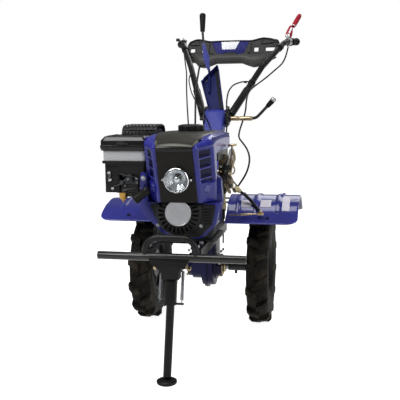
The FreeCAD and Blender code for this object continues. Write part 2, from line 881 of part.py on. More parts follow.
def build_fan_shroud():
    """The blower housing: a volute round the fan that opens towards the cylinder."""
    body = new_body("fan_shroud")
    x, z = d.crank_x, d.crank_z
    outline = [
        (x - 124, z + 112, 14),
        (x - 124, z - 2, 40),
        (x - 56, z - 66, 34),
        (x - 20, z - 82, 40),
        (x + 70, z - 82, 40),
        (x + 112, z - 40, 40),
        (x + 126, z + 30, 50),
        (x + 120, z + 112, 24),
    ]
    pad(body, "Y", shroud_front, d.engine_front_y - 0.3, outline)
    step = d.hood_low_z - 4
    recess = box_corners(x - 100, x + 140, shroud_front - 1, shroud_front + 42)
    pocket(body, "Z", step, z + 130, recess)
    hollow = [(cx, cz, max(r - 3, 0)) for cx, cz, r in shrunk(outline, x, z + 4, 0.965)]
    pocket(body, "Y", shroud_front + 45, d.engine_front_y, hollow)
    low_hollow = [(x - 116, step - 3), (x - 116, z + 1, 36), (x - 54, z - 58, 30), (x - 18, z - 75, 36)]
    low_hollow += [(x + 68, z - 75, 36), (x + 106, z - 38, 36), (x + 118, step - 3)]
    pocket(body, "Y", shroud_front + 3, shroud_front + 46, low_hollow)
    pocket(body, "Y", shroud_front - 1, shroud_front + 4, (x, z, 70.0))
    lug = [(x - 121, z + 84, 9), (x - 101.5, z + 84, 9), (x - 101.5, z + 122, 9), (x - 121, z + 122, 9)]
    pad(body, "Y", shroud_front - 8, shroud_front, lug)
    node(body, "fan_shroud")


def build_recoil_cover():
    """The starter cover: a dished cap with a ring of radial air slots between fins."""
    body = new_body("recoil_cover")
    plate = [
        (-92, 26, 4),
        (-76, -16, 30),
        (-40, -64, 30),
        (-10, -76, 30),
        (62, -76, 30),
        (100, -38, 30),
        (110, 10, 30),
        (110, 26, 4),
    ]
    pad(body, "Y", -8.0, -0.2, plate)
    outside = [(-0.4, 0.0), (-0.4, 73.0), (-14.0, 73.0, 5), (-24.0, 56.0, 8), (-24.0, 0.0)]
    inside = [(0.0, 0.0), (0.0, 66.0), (-11.0, 66.0), (-20.5, 52.0), (-20.5, 0.0)]
    turned(body, "Y", (0.0, 0.0, 0.0), outside)
    turned(body, "Y", (0.0, 0.0, 0.0), inside, cut=True)
    slot = pocket(body, "Y", -30.0, 2.0, [(-2.2, 44), (2.2, 44), (3.2, 63), (-3.2, 63)])
    repeated(body, slot, "Y_Axis", 26)
    for i in range(6):
        low = -36 + 9 * i
        pocket(body, "Y", -9.0, 1.0, [(78, low), (98, low + 3), (98, low + 7), (78, low + 4)])
    pocket(body, "Z", 24.0, 80.0, box_corners(-100, 120, -40, 5))
    node(body, "recoil_cover", d.crank_x, shroud_front, d.crank_z)


def build_recoil_badge():
    """A plain dished disc over the middle of the starter cover."""
    body = new_body("recoil_badge")
    profile = [(0.0, 0.0), (0.0, 40.5), (-1.6, 40.5), (-3.0, 36.0), (-3.0, 0.0)]
    turned(body, "Y", (0.0, 0.0, 0.0), profile)
    node(body, "recoil_badge", d.crank_x, shroud_front - 24, d.crank_z)


def build_recoil_handle():
    """The pull-start grip, a waisted bar, with its stem and the guide on the blower housing."""
    x = d.crank_x - 110
    z = d.crank_z + 56
    y = shroud_front - 34
    grip = new_body("pull_bar")
    profile = [
        (-26.0, 0.0),
        (-26.0, 9.0, 5),
        (-20.0, 13.5, 6),
        (0.0, 11.0, 40),
        (20.0, 13.5, 6),
        (26.0, 9.0, 5),
        (26.0, 0.0),
    ]
    turned(grip, "X", (0.0, 0.0, 0.0), profile)
    place(grip, x, y, z, ((0, 1, 0), -37))
    stem = rod((x, y, z), (x + 6, shroud_front - 6, z + 4), 6.0)
    guide = rod((x + 6, shroud_front - 8, z + 4), (x + 6, shroud_front - 0.2, z + 4), 9.0)
    node(fused(grip, stem, guide), "recoil_handle")


def build_air_filter():
    """The air cleaner: a ribbed lid, a silver band and the box below it."""
    x0, x1 = d.crank_x - 255, d.crank_x - 104
    y0, y1 = -516, -386
    base = new_body("air_filter_base")
    pad(base, "Z", 553.0, 651.6, box_corners(x0 + 12, x0 + 62, y0 + 8, -434, 8.0))
    pad(base, "Z", 612.0, 651.6, box_corners(x0 + 12, x1 - 6, y0 + 8, -434, 8.0))
    pad(base, "Z", 644.0, 651.6, box_corners(x0 + 4, x1 - 2, y0 + 2, y1 - 2, 12.0))
    node(base, "air_filter_base")
    band = new_body("air_filter_band")
    pad(band, "Z", 652.0, 683.6, box_corners(x0 + 7, x1 - 4, y0 + 5, y1 - 4, 14.0))
    pocket(band, "Z", 655.0, 684.6, box_corners(x0 + 11, x1 - 8, y0 + 9, y1 - 8, 10.0))
    node(band, "air_filter_band")
    lid = new_body("air_filter_cover")
    pad(lid, "Z", 684.0, 728.0, box_corners(x0, x1, y0, y1, 16.0))
    rounded(lid, 13.0, lambda m, r: m.z > 727.9, "PartDesign::Chamfer")
    pad(lid, "Z", 690.0, 700.0, box_corners(x0 - 2, x1 + 2, y0 - 2, y1 + 2, 17.0))
    pocket(lid, "Z", 683.0, 710.0, box_corners(x0 + 4, x1 - 4, y0 + 4, y1 - 4, 12.0))
    node(lid, "air_filter_cover")


def build_carburettor():
    """The carburettor between the air cleaner and the head, with its choke lever."""
    x, y = d.crank_x - 150, -472
    barrel = disc("Y", (x, y - 26, 584), 14.0, 54.0)
    chamber = block(x - 22, x + 22, y - 22, y + 22, 568, 598)
    lever = block(x - 20, x - 4, y - 34, y - 31, 589, 611)
    spindle = disc("Y", (x - 13, y - 39, 600.5), 3.0, 30.0)
    intake = block(x - 18, x + 18, y - 12, y + 20, 597, 611.8)
    node(fused(chamber, intake, barrel, spindle, lever), "carburettor")
    bowl = new_body("float_bowl")
    profile = [(0.0, 0.0), (0.0, 18.5), (-19.0, 16.0, 6), (-24.0, 7.0), (-31.0, 6.0), (-31.0, 0.0)]
    turned(bowl, "Z", (0.0, 0.0, 0.0), profile)
    node(bowl, "float_bowl", x, y, 567.7)


def build_muffler():
    """The silencer behind the air cleaner, under a slotted heat guard."""
    x0, x1 = d.crank_x - 218, d.crank_x - 112
    can = new_body("muffler")
    pad(can, "X", x0, x1, box_corners(-372, -262, 646, 744, 36.0))
    node(can, "muffler")
    guard = new_body("muffler_guard")
    pad(guard, "X", x0 - 6, x1 + 4, box_corners(-380, -250, 640, 756, 30.0))
    pocket(guard, "X", x0 - 7, x1 + 5, box_corners(-377, -253, 600, 753, 27.0))
    slot = box_corners(x0 + 3, x0 + 9, -364, -266, 2.9)
    cutter = pocket(guard, "Z", 744.0, 758.0, slot)
    in_a_row(guard, cutter, "X_Axis", 94.0, 10)
    node(guard, "muffler_guard")


def build_governor_bracket():
    """The throttle plate on the left of the engine with its arm and link."""
    face = d.crank_x + 92.3
    plate = block(face, face + 3, -352, -262, 566, 640)
    shelf = block(face, face + 34, -300, -262, 637, 640)
    post = rod((face + 29, -300, 574), (face + 38, -300, 690), 4.0)
    lower = rod((face + 2, -330, 606), (face + 38, -322, 596), 4.0)
    link = bent_bar([(face + 36, -300, 684), (face + 46, -318, 650), (face + 36, -322, 596)], [40.0], 2.2)
    pivot = rod((face, -300, 580), (face + 32, -300, 576), 6.0)
    top = rod((face + 24, -300, 688), (face + 52, -300, 691), 4.0)
    return fused(plate, shelf, post, lower, link, pivot, top)


build_engine_block()
build_cylinder_head()
build_fan_shroud()
build_recoil_cover()
build_recoil_badge()
build_recoil_handle()
build_air_filter()
build_carburettor()
build_muffler()
governor_bracket = build_governor_bracket()

# ---- hood --------------------------------------------------------------------------------
# The hood leans forward over the starter: every level cut through its nose is the same
# outline, moved forward by hood_lean between its lower edge and its lip.

LEAN = (0.0, -float(d.hood_lean), float(d.hood_lip_z) - float(d.hood_low_z))
lean_per_mm = d.hood_lean / (d.hood_lip_z - d.hood_low_z)


def crown_outline(drop, below=False):
    """The side view of the space above (or below) the hood's crowned top, less a drop."""
    top = d.hood_top_z - drop
    nose = d.hood_front_y - d.hood_lean - 3 + drop
    line = [
        (nose, 560),
        (nose, d.hood_lip_z + 12 - drop, max(26 - drop, 4)),
        (d.hood_front_y + 40, top - 2, 120),
        (d.hood_front_y + 230, top + 2, 200),
        (d.hood_back_y + 6, top - 6),
    ]
    if below:
        return line + [(d.hood_back_y + 6, 500), (nose, 500)]
    return line + [(d.hood_back_y + 6, 800), (-700, 800), (-700, 560)]


def across_outline(drop):
    """The front view of the space above the hood's top, crowned from side to side."""
    x = d.hood_x
    top = d.hood_top_z - drop
    return [
        (x - d.hood_half - 5, top - 26),
        (x - d.hood_half - 5, 800),
        (x + d.hood_half + 5, 800),
        (x + d.hood_half + 5, top - 26),
        (x + d.hood_half - 14, top - 9, 60),
        (x, top + 3, 400),
        (x - d.hood_half + 14, top - 9, 60),
    ]


def nose_plan(inset, back):
    """A level cut through the hood at its lower edge: flat face, swept corners, side walls."""
    x = d.hood_x
    front = d.hood_front_y + inset
    half = d.hood_half - inset
    face = d.hood_face_half - inset / 2
    return [
        (x - face, front, 6),
        (x + face, front, 6),
        (x + half, front + 67, 22),
        (x + half, back),
        (x - half, back),
        (x - half, front + 67, 22),
    ]


def build_fuel_tank():
    """The black tank whose crowned top is the top of the hood."""
    body = new_body("fuel_tank")
    low = 648
    shift = lean_per_mm * (low - d.hood_low_z)
    plan = [(x, y - shift, *r) for x, y, *r in nose_plan(20.5, d.hood_back_y + 40)]
    leaning_pad(body, low, 112.0, LEAN, plan)
    reach = d.hood_half - 4.5
    rear = box_corners(d.hood_x - reach, d.hood_x + reach, -440, d.hood_back_y - 4.5)
    pad(body, "Z", low, 760, rear)
    pocket(body, "X", -200, 200, crown_outline(0))
    pocket(body, "Y", -700, -200, across_outline(0))
    well = (d.hood_x + 7, -393, 31.5)
    pocket(body, "Z", 722, 760, well)
    hollow = box_corners(d.hood_x - reach + 4, d.hood_x + reach - 4, -430, d.hood_back_y - 9)
    pocket(body, "Z", low - 1, 714, hollow)
    node(body, "fuel_tank")


def build_tank_cap():
    """The filler cap with grip flutes round its rim."""
    body = new_body("tank_cap")
    profile = [
        (-14.0, 0.0), (-14.0, 29.0), (0.0, 29.0), (0.0, 42.0),
        (17.0, 42.0, 4), (20.0, 28.0), (20.0, 0.0),
    ]
    turned(body, "Z", (0.0, 0.0, 0.0), profile)
    flute = pocket(body, "Z", -1.0, 13.0, (44.5, 0.0, 5.0))
    repeated(body, flute, "Z_Axis", 12)
    node(body, "tank_cap", d.hood_x + 7, -393, d.hood_top_z + 2.2)


def nose_shell(body, skin_plan, rim_plan):
    """A leaning sheet with a rim that turns in over the tank along the crowned top."""
    leaning_pad(body, d.hood_low_z, 230.0, LEAN, rim_plan)
    pocket(body, "X", -200, 200, crown_outline(4, below=True))
    leaning_pad(body, d.hood_low_z, 230.0, LEAN, skin_plan)
    pocket(body, "X", -200, 200, crown_outline(0))


def build_hood_front():
    """The nose panel round the headlight, leaning forward to its rounded lip."""
    body = new_body("hood_front")
    x = d.hood_x
    face = d.hood_face_half - 0.2
    front = d.hood_front_y
    skin = [(x - face, front), (x + face, front), (x + face - 2, front + 4), (x - face + 2, front + 4)]
    rim = [(x - face, front), (x + face, front), (x + face - 8, front + 20), (x - face + 8, front + 20)]
    nose_shell(body, skin, rim)
    pocket(body, "Y", -700, -500, (x, d.lamp_z, d.lamp_r + 0.5))
    node(body, "hood_front")


def duct_plan(side, near, far, start, end, shift):
    """A level cut of one air duct: a strip behind the swept face, between two depths."""
    run_x = side * (d.hood_half - d.hood_face_half)
    run_y = 67.0
    length = math.hypot(float(run_x), run_y)
    in_x = -side * run_y / length
    in_y = abs(float(run_x)) / length
    corner_x = d.hood_x + side * d.hood_face_half
    corner_y = d.hood_front_y - shift
    plan = []
    for share, depth in ((start, near), (end, near), (end, far), (start, far)):
        plan.append((corner_x + run_x * share + in_x * depth, corner_y + run_y * share + in_y * depth))
    return plan


def build_hood_side(label, side):
    """One blue corner of the hood: a swept sheet with a column of pressed air slots."""
    body = new_body(label)
    x = d.hood_x
    front = d.hood_front_y
    face = side * d.hood_face_half
    half = side * d.hood_half
    skin = side * 4
    plan = [
        (x + face, front),
        (x + half, front + 67, 14),
        (x + half, front + 84),
        (x + half - skin, front + 84),
        (x + half - skin, front + 69, 10),
        (x + face, front + 5.5),
    ]
    rim = [
        (x + face, front),
        (x + half, front + 67),
        (x + half, front + 84),
        (x + half - side * 20, front + 84),
        (x + half - side * 20, front + 76),
        (x + face - side * 8, front + 20.2),
    ]
    nose_shell(body, plan, rim)
    pocket(body, "Y", -700, -200, across_outline(-2))
    for low in (605, 638, 671):
        shift = lean_per_mm * (low - 4 - d.hood_low_z)
        leaning_pad(body, low - 4, 38.0, LEAN, duct_plan(side, 3.0, 15.0, 0.09, 0.92, shift))
        shift = lean_per_mm * (low - d.hood_low_z)
        leaning_pocket(body, low, 29.2, LEAN, duct_plan(side, -4.0, 12.0, 0.15, 0.76, shift))
    corner = [(x + half + side, 500), (x + half - side * 18, 500), (x + half - side * 15, d.hood_low_z)]
    corner += [
        (x + half - side * 9, d.hood_low_z + 30),
        (x + half, d.hood_low_z + 90),
        (x + half + side, d.hood_low_z + 90),
    ]
    pocket(body, "Y", -700, -400, corner)
    node(body, label)


def build_side_panels():
    """The hood's upper side strips, from its swept corners back to the tank's end."""
    parts = []
    for side in (-1, 1):
        body = new_body("strip")
        high = d.hood_top_z - 11
        low = d.hood_top_z - 62
        front_low = d.hood_front_y + 84.3 - lean_per_mm * (low - d.hood_low_z)
        front_high = d.hood_front_y + 84.3 - lean_per_mm * (high - d.hood_low_z)
        outline = [(front_low, low), (d.hood_back_y, low), (d.hood_back_y, high, 6), (front_high, high)]
        start = d.hood_x + d.hood_half - 4 if side > 0 else d.hood_x - d.hood_half
        pad(body, "X", start, start + 4, outline)
        parts.append(body)
    node(fused(*parts), "side_panels")


def build_headlight():
    """The lamp: a chrome bezel round a domed lens, with a bucket behind."""
    body = new_body("headlight")
    r = d.lamp_r
    profile = [
        (40.0, 0.0),
        (40.0, 20.0),
        (6.0, r - 1.5),
        (-5.0, r - 1.5),
        (-5.0, r + 1),
        (-8.0, r + 1),
        (-11.0, r - 4, 1.5),
        (-15.0, r - 16, 8),
        (-17.0, 0.0),
    ]
    turned(body, "Y", (0.0, 0.0, 0.0), profile)
    depth = lean_per_mm * (d.lamp_z - d.hood_low_z)
    lean = math.degrees(math.atan2(-LEAN[1], LEAN[2]))
    node(body, "headlight", d.hood_x, d.hood_front_y - depth, d.lamp_z, ((1, 0, 0), lean))


build_fuel_tank()
build_tank_cap()
build_hood_front()
build_hood_side("hood_left", 1)
build_hood_side("hood_right", -1)
build_side_panels()
build_headlight()

# ---- column, gear console and gear lever -------------------------------------------------

half_column = d.column_half


def build_handle_column():
    """The sheet-steel column on the gear case that carries the handlebar's clamp."""
    body = new_body("handle_column")
    outline = [
        (66, d.gear_top_z + 8.1),
        (d.pivot_y - 30, d.pivot_z + 30),
        (d.pivot_y + 28, d.pivot_z + 30, 16),
        (d.pivot_y + 34, d.pivot_z - 30, 20),
        (126, d.gear_top_z + 8.1),
    ]
    pad(body, "X", -half_column, half_column, outline)
    pad(body, "X", -half_column - 5, half_column + 5, (d.pivot_y, d.pivot_z, 36.0))
    pocket(body, "X", -half_column - 6, half_column + 6, (d.pivot_y, d.pivot_z, 8.05))
    node(body, "handle_column")


def build_gear_console():
    """The open channel on the column's top, widening up to the gear gate and cut off at a slant."""
    body = new_body("channel")
    outside = [(-29.5, 0), (29.5, 0), (42, 252), (-40.5, 182)]
    inside = [(-27, -2), (27, -2), (39.6, 262), (-38, 182)]
    pad(body, "Y", -28.0, 0.0, outside)
    pocket(body, "Y", -29.0, -2.5, inside)
    body.Placement = Placement(Vector(), Rotation(Vector(0, 0, 1), Vector(-58, 160, 166)))
    place_turned(body, 7.0, d.pivot_y - 4, d.pivot_z + 18)
    column_top = d.pivot_z + 30.1
    column = block(-70, 70, d.pivot_y - 100, d.pivot_y + 100, column_top - 80, column_top)
    boss = disc("X", (-70, d.pivot_y, d.pivot_z), 36.2, 140.0)
    node(cut(body, column, boss), "gear_console")


def build_gate_plate():
    """The slotted gate that guides the gear lever: a long leaf standing on the console."""
    body = new_body("gate_plate")
    leaf = [(-5, 0, 4), (5, 0, 4), (14, 55, 60), (4, 117, 3), (-4, 117, 3), (-14, 55, 60)]
    pad(body, "Y", -1.5, 1.5, leaf)
    node(body, "gate_plate", -54, 380, 962, ((0, 1, 0), -10.8))


def build_shift_lever():
    """The gear lever: a bent rod out of the console with a long black knob."""
    route = [(-38, 304, 868), (-58, 414, 985), (-96, 470, 1098), (-100.5, 500, 1190)]
    stem = bent_bar(route, [60.0, 60.0], 5.0)
    knob = new_body("knob")
    profile = [(0.0, 0.0), (0.0, 10.0), (40.0, 12.0), (74.0, 14.0, 6), (82.0, 8.0), (82.0, 0.0)]
    turned(knob, "Z", (0.0, 0.0, 0.0), profile)
    knob.Placement = Placement(Vector(-98.4, 484, 1134), Rotation(Vector(0, 0, 1), Vector(-4.5, 30, 94)))
    node(fused(stem, knob), "shift_lever")


def build_shift_rods():
    """The gear-change rod down the right of the column and the shift rod by the gear case."""
    route = [(-72, 408, 985), (-96, 390, 976), (-101, 330, 880), (-78, 196, 700), (-52, 116, 569)]
    long_rod = bent_bar(route, [12.0, 60.0, 90.0], 4.0)
    side_rod = rod((70, -20, 300), (72, -20, 430), 3.0)
    arm = block(60.0, 80, -36, -10, 424, 430)
    pin = disc("X", (59.2, -28, 427), 8.0, 20.0)
    node(fused(long_rod, side_rod, arm, pin), "shift_rods")


build_handle_column()
build_gear_console()
build_gate_plate()
build_shift_lever()
build_shift_rods()

# ---- handlebar ---------------------------------------------------------------------------

HANDLE = [
    (57, 262, 774),
    (158, 520, 978),
    (240, 742, 1100),
    (d.grip_x, d.grip_y, d.grip_z),
]
sleeve_r = d.tube_r + 3


def build_handlebar_hub():
    """Two cheeks either side of the column, each with a socket for its tube, and the cross rod."""
    parts = []
    bores = []
    run = Vector(*HANDLE[1]) - Vector(*HANDLE[0])
    run.normalize()
    for side in (-1, 1):
        x = half_column + 5.4
        low = x if side > 0 else -x - 9
        body = new_body("cheek")
        outline = [
            (d.pivot_y - 34, d.pivot_z - 20, 18),
            (d.pivot_y + 10, d.pivot_z - 38, 18),
            (d.pivot_y + 62, d.pivot_z + 4, 14),
            (d.pivot_y + 50, d.pivot_z + 54, 14),
            (d.pivot_y - 20, d.pivot_z + 30, 18),
        ]
        pad(body, "X", low, low + 9, outline)
        parts.append(body)
        start = Vector(*HANDLE[0]) + run * 2
        end = Vector(*HANDLE[0]) + run * 176
        socket = rod((side * start.x, start.y, start.z), (side * end.x, end.y, end.z), sleeve_r)
        foot = start + run * 2
        mouth = end + run * 2
        start = (side * foot.x, foot.y, foot.z)
        end = (side * mouth.x, mouth.y, mouth.z)
        bores.append(rod(start, end, d.tube_r + 0.02))
        parts.append(socket)
    rod_end = 92.0
    parts.append(rod((-rod_end + 26, d.pivot_y, d.pivot_z), (rod_end, d.pivot_y, d.pivot_z), 8.0))
    node(cut(fused(*parts), fused(*bores)), "handlebar_hub")


def build_handle_tubes():
    """The two tubes from the hub's sockets up to their grips."""
    run = Vector(*HANDLE[1]) - Vector(*HANDLE[0])
    run.normalize()
    start = Vector(*HANDLE[0]) + run * 6
    tubes = []
    for side in (1, -1):
        route = [(side * start.x, start.y, start.z)] + [(side * x, y, z) for x, y, z in HANDLE[1:]]
        tubes.append(bent_tube(route, [160.0, 130.0], d.tube_r, d.tube_wall))
    node(fused(*tubes), "handle_tubes")


def build_grips():
    """Ribbed rubber grips over the tube ends."""
    grips = []
    inner = d.tube_r + 0.05
    for side in (-1, 1):
        low, high = HANDLE[2], HANDLE[3]
        run = Vector(side * (high[0] - low[0]), high[1] - low[1], high[2] - low[2])
        run.normalize()
        end = Vector(side * float(d.grip_x), float(d.grip_y), float(d.grip_z))
        body = new_body("grip")
        profile = [
            (0.0, 0.0),
            (0.0, 18.0, 4),
            (-20.0, 16.5),
            (-84.0, 16.5),
            (-88.0, 20.0),
            (-92.0, 20.0),
            (-92.0, inner),
            (-5.9, inner),
            (-5.9, 0.0),
        ]
        turned(body, "Z", (0.0, 0.0, 0.0), profile)
        body.Placement = Placement(end + run * 6, Rotation(Vector(0, 0, 1), run))
        grips.append(body)
    node(fused(*grips), "handle_grips")


PANEL_X = -16.0
PANEL_LEAN = -24.0


def panel_side(grow, reach):
    """One half of the moulded panel's front view: a raised shoulder over a hanging pouch."""
    return [
        (96, 60 + grow, 30),
        (118, 63 + grow, 30),
        (155, 74 + grow, 30),
        (196 + reach + grow, 60 + grow, 10),
        (206 + reach + grow, 40, 10),
        (196 + reach + grow, -30, 16),
        (180 + reach, -45 - grow, 8),
        (164, -46 - grow, 10),
        (146, -68 - grow, 16),
        (116, -74 - grow, 24),
        (88, -64 - grow, 24),
        (60, -52 - grow, 24),
    ]


def panel_outline(grow):
    """The panel's front view; its left end reaches further out, under the tube."""
    left = panel_side(grow, 28)
    right = panel_side(grow, 0)
    return left + [(-x, z, r) for x, z, r in reversed(right)]


def build_handle_panel():
    """The moulded panel between the tubes, with finger openings beside each tube."""
    body = new_body("handle_panel")
    pad(body, "Y", -9.0, 9.0, panel_outline(0))
    pocket(body, "Y", 2.0, 12.0, panel_outline(-5))
    plate = [(-92, 58), (92, 58), (64, -9), (34, -9), (16, -1), (-16, -1), (-34, -9), (-64, -9)]
    pocket(body, "Y", -10.0, -7.0, plate)
    openings = []
    for side in (-1, 1):
        outer = sorted((side * 168, side * (212 if side > 0 else 190)))
        inner = sorted((side * 114, side * 134))
        openings.append(box_corners(*outer, 2, 24, 4.0))
        openings.append(box_corners(*inner, 0, 25, 4.0))
    pocket(body, "Y", -12.0, 12.0, *openings)
    node(body, "handle_panel", PANEL_X, 742, 1056, ((1, 0, 0), PANEL_LEAN))
    insert = new_body("panel_insert")
    shape = [(-91.5, 57.5), (91.5, 57.5), (63.6, -8.5), (34.2, -8.5), (16.2, -0.5)]
    shape += [(-16.2, -0.5), (-34.2, -8.5), (-63.6, -8.5)]
    pad(insert, "Y", -9.5, -7.1, shape)
    node(insert, "panel_insert", PANEL_X, 742, 1056, ((1, 0, 0), PANEL_LEAN))


def build_panel_brackets():
    """A split clamp round each tube, with a tab that meets the moulded panel's end."""
    parts = []
    bores = []
    low, high = Vector(*HANDLE[1]), Vector(*HANDLE[2])
    run = high - low
    run.normalize()
    for side, tab_x in ((-1, -214), (1, 196)):
        first = high - run * 72
        last = high - run * 50
        parts.append(rod((side * first.x, first.y, first.z), (side * last.x, last.y, last.z), 16.5))
        before = first - run
        after = last + run
        start = (side * before.x, before.y, before.z)
        end = (side * after.x, after.y, after.z)
        bores.append(rod(start, end, d.tube_r + 0.05))
        middle = (first + last) / 2
        parts.append(rod((side * (middle.x - 12), middle.y + 6, middle.z), (tab_x, 752, 1069), 6.0))
    space = block(-250, 250, -9.1, 40, -100, 100)
    turn = Rotation(Vector(1, 0, 0), PANEL_LEAN)
    corner = turn.multVec(Vector(-250, -9.1, -100))
    space.Placement = Placement(corner + Vector(0, 742, 1056), turn)
    node(cut(fused(*parts), fused(space, *bores)), "panel_brackets")


def along_grip(side, back):
    """The point on a tube's end run at a distance back from its open end."""
    low, high = Vector(*HANDLE[2]), Vector(*HANDLE[3])
    run = high - low
    run.normalize()
    point = high - run * back
    return (side * point.x, point.y, point.z)


def lever_clamp(side):
    """A split clamp round the tube just below its grip, and the tube's space through it."""
    clamp = rod(along_grip(side, 122), along_grip(side, 92), 18.0)
    bore = rod(along_grip(side, 123), along_grip(side, 91), d.tube_r + 0.05)
    return clamp, bore


def build_hand_levers():
    """The red clutch lever by the left grip and the throttle lever by the right one."""
    clamp, bore = lever_clamp(1)
    arm = bent_bar([(256, 784, 1124), (256, 800, 1156), (292, 872, 1240)], [16.0], 8.0)
    node(cut(fused(clamp, arm), bore), "clutch_lever")
    clamp, bore = lever_clamp(-1)
    drum = disc("Z", (-256, 786, 1122), 17.0, 16.0)
    arm = rod((-256, 786, 1133), (-306, 756, 1141), 4.9)
    node(cut(fused(clamp, drum, arm), bore), "throttle_lever")


def build_clamp_lever():
    """The quick-clamp: a zinc-plated nut tube and a bent black arm with a knob."""
    x = half_column + 14.6
    outer = disc("X", (x, d.pivot_y, d.pivot_z), 12.0, 100.0)
    inner = disc("X", (x - 1, d.pivot_y, d.pivot_z), 8.05, 102.0)
    arm = bent_bar([(138, 240, 762), (168, 240, 766), (236, 236, 838)], [24.0], 6.5)
    knob = rod((205, 237.8, 805), (240, 235.8, 842), 11.0)
    node(fused(cut(outer, inner), arm, knob), "clamp_lever")


build_handlebar_hub()
build_handle_tubes()
build_grips()
build_handle_panel()
build_panel_brackets()
build_hand_levers()
build_clamp_lever()

# ---- front stand -------------------------------------------------------------------------


def build_stand():
    """The prop stand: a sleeve on the pivot pin, a leg, a round foot and its springs."""
    lean = math.radians(float(d.stand_lean))
    length = float(d.stand_z) / math.cos(lean)
    leg = new_body("stand_leg")
    pad(leg, "X", -20.9, 20.9, (0.0, 0.0, 11.0))
    pad(leg, "Z", -length + 18.2, -6.0, (0.0, 0.0, 12.5))
    pad(leg, "Z", -112.0, -6.0, box_corners(-17.0, 17.0, -15.0, 15.0, 8.0))
    pocket(leg, "X", -22.0, 22.0, (0.0, 0.0, 6.05))
    node(leg, "stand_leg")
    leg.Placement = Placement(Vector(), Rotation(Vector(1, 0, 0), -float(d.stand_lean)))
    place_turned(leg, 0.0, d.axle_y + d.stand_y, d.stand_z)
    springs = []
    for side in (-1, 1):
        top = (side * 34.0, d.stand_y + 4, d.stand_z - 2)
        low = (side * 34.0, d.stand_y - 24, d.stand_z - 98)
        springs.append(rod(top, low, 5.5))
    cross = (d.stand_y - 26.5, d.stand_z - 104)
    springs.append(rod((-40, *cross), (-17.3, *cross), 4.0))
    springs.append(rod((17.3, *cross), (40, *cross), 4.0))
    node(fused(*springs), "stand_springs")
    foot = new_body("stand_foot")
    profile = [(0.0, 0.0), (0.0, d.foot_r - 3), (3.0, d.foot_r), (9.0, d.foot_r), (14.0, 20.0), (14.0, 0.0)]
    turned(foot, "Z", (0.0, 0.0, 0.0), profile)
    node(foot, "stand_foot", 0.0, d.stand_y - length * math.sin(lean), 0.0)


build_stand()

# ---- control cables ----------------------------------------------------------------------
# Each route is a list of points chosen by hand; its corners are rounded as far as the two
# runs beside each point allow.

CLUTCH_ROUTE = [
    (253, 778, 1078),
    (247, 756, 1040),
    (232, 716, 1000),
    (208, 662, 962),
    (176, 584, 922),
    (142, 506, 892),
    (116, 440, 868),
    (109, 388, 834),
    (109, 346, 792),
    (102, 300, 748),
    (96, 246, 712),
    (101, 182, 688),
    (126, 116, 672),
    (154, 50, 650),
    (171, -14, 622),
    (172, -74, 588),
    (160, -124, 556),
    (144, -158, 532),
]
LOOP_ROUTE = [
    (101, 424, 908),
    (92, 394, 914),
    (80, 362, 908),
    (60, 332, 900),
    (44, 300, 876),
    (42, 262, 842),
    (48, 216, 808),
    (56, 168, 772),
    (64, 120, 728),
    (64, 78, 676),
    (54, 52, 624),
    (44, 44, 569),
]
THROTTLE_ROUTE = [
    (-246, 772, 1078),
    (-238, 752, 1040),
    (-225, 712, 1000),
    (-210, 664, 962),
    (-195, 588, 924),
    (-178, 508, 886),
    (-160, 428, 850),
    (-142, 348, 816),
    (-123, 268, 784),
    (-104, 186, 752),
    (-84, 104, 722),
    (-66, 22, 692),
    (-54, -58, 660),
    (-46, -136, 628),
    (-40, -206, 596),
    (-38, -254, 566),
]
WIRE_ROUTE = [
    (-150, 430, 918),
    (-138, 400, 880),
    (-112, 346, 846),
    (-76, 272, 814),
    (-42, 200, 782),
    (-12, 140, 748),
    (12, 88, 712),
    (30, 44, 668),
    (40, 12, 620),
    (42, 6, 567),
]
HOSE_ROUTE = [
    (152, -140, 514),
    (172, -131, 497),
    (192, -133, 478),
    (208, -145, 463),
    (219, -159, 453),
    (226, -174, 446),
]


def cord_bends(points):
    """The largest radius that the runs beside each inner point allow."""
    points = [Vector(*p) for p in points]
    radii = []
    for before, here, after in zip(points, points[1:], points[2:]):
        back, ahead = before - here, after - here
        turn = math.pi - back.getAngle(ahead)
        radii.append(0.45 * min(back.Length, ahead.Length) / math.tan(turn / 2))
    return radii


def build_cord(label, points, radius):
    """One sheathed cable as a round tube along its route."""
    bends = cord_bends(points)
    sweep = bent_bar(points, bends, radius)
    doc.recompute()
    path_length = bent_wire(points, bends).Length
    expected = math.pi * radius * radius * path_length
    if abs(sweep.Shape.Volume - expected) > 0.02 * expected:
        raise RuntimeError(f"{label}: the tube's volume is not its section times its length")
    print(label, "length", round(path_length), "smallest bend", round(min(bends)))
    node(sweep, label)


def end_rod(last, before, radius, length):
    """A short rod that carries on from the end of a cord's route."""
    run = Vector(*last) - Vector(*before)
    run.normalize()
    far = Vector(*last) + run * length
    return rod(last, (far.x, far.y, far.z), radius)


def build_cable_ends():
    """The boot and plug of the clutch cable and the stop wire, and the cables' two brackets."""
    boot = end_rod(CLUTCH_ROUTE[-1], CLUTCH_ROUTE[-2], 9.0, 22.0)
    gland = end_rod(HOSE_ROUTE[0], HOSE_ROUTE[1], 8.0, 14.0)
    plug = block(86, 102, -160, -144, 452, 478)
    socket = block(88, 100, -158, -146, 477, 506)
    node(fused(boot, gland, plug, socket), "cable_connectors")
    stop = end_rod(HOSE_ROUTE[-1], HOSE_ROUTE[-2], 8.0, 8.0)
    strap = block(216, 240, -188, -176, d.fender_lip_z + 30, d.fender_lip_z + 37)
    inner = rod((228, -182, 442), (120, -188, 436), 2.5)
    barrel = rod((200, -183.5, 440.5), (160, -185.8, 438.3), 4.5)
    node(fused(governor_bracket, strap, stop, inner, barrel), "control_brackets")


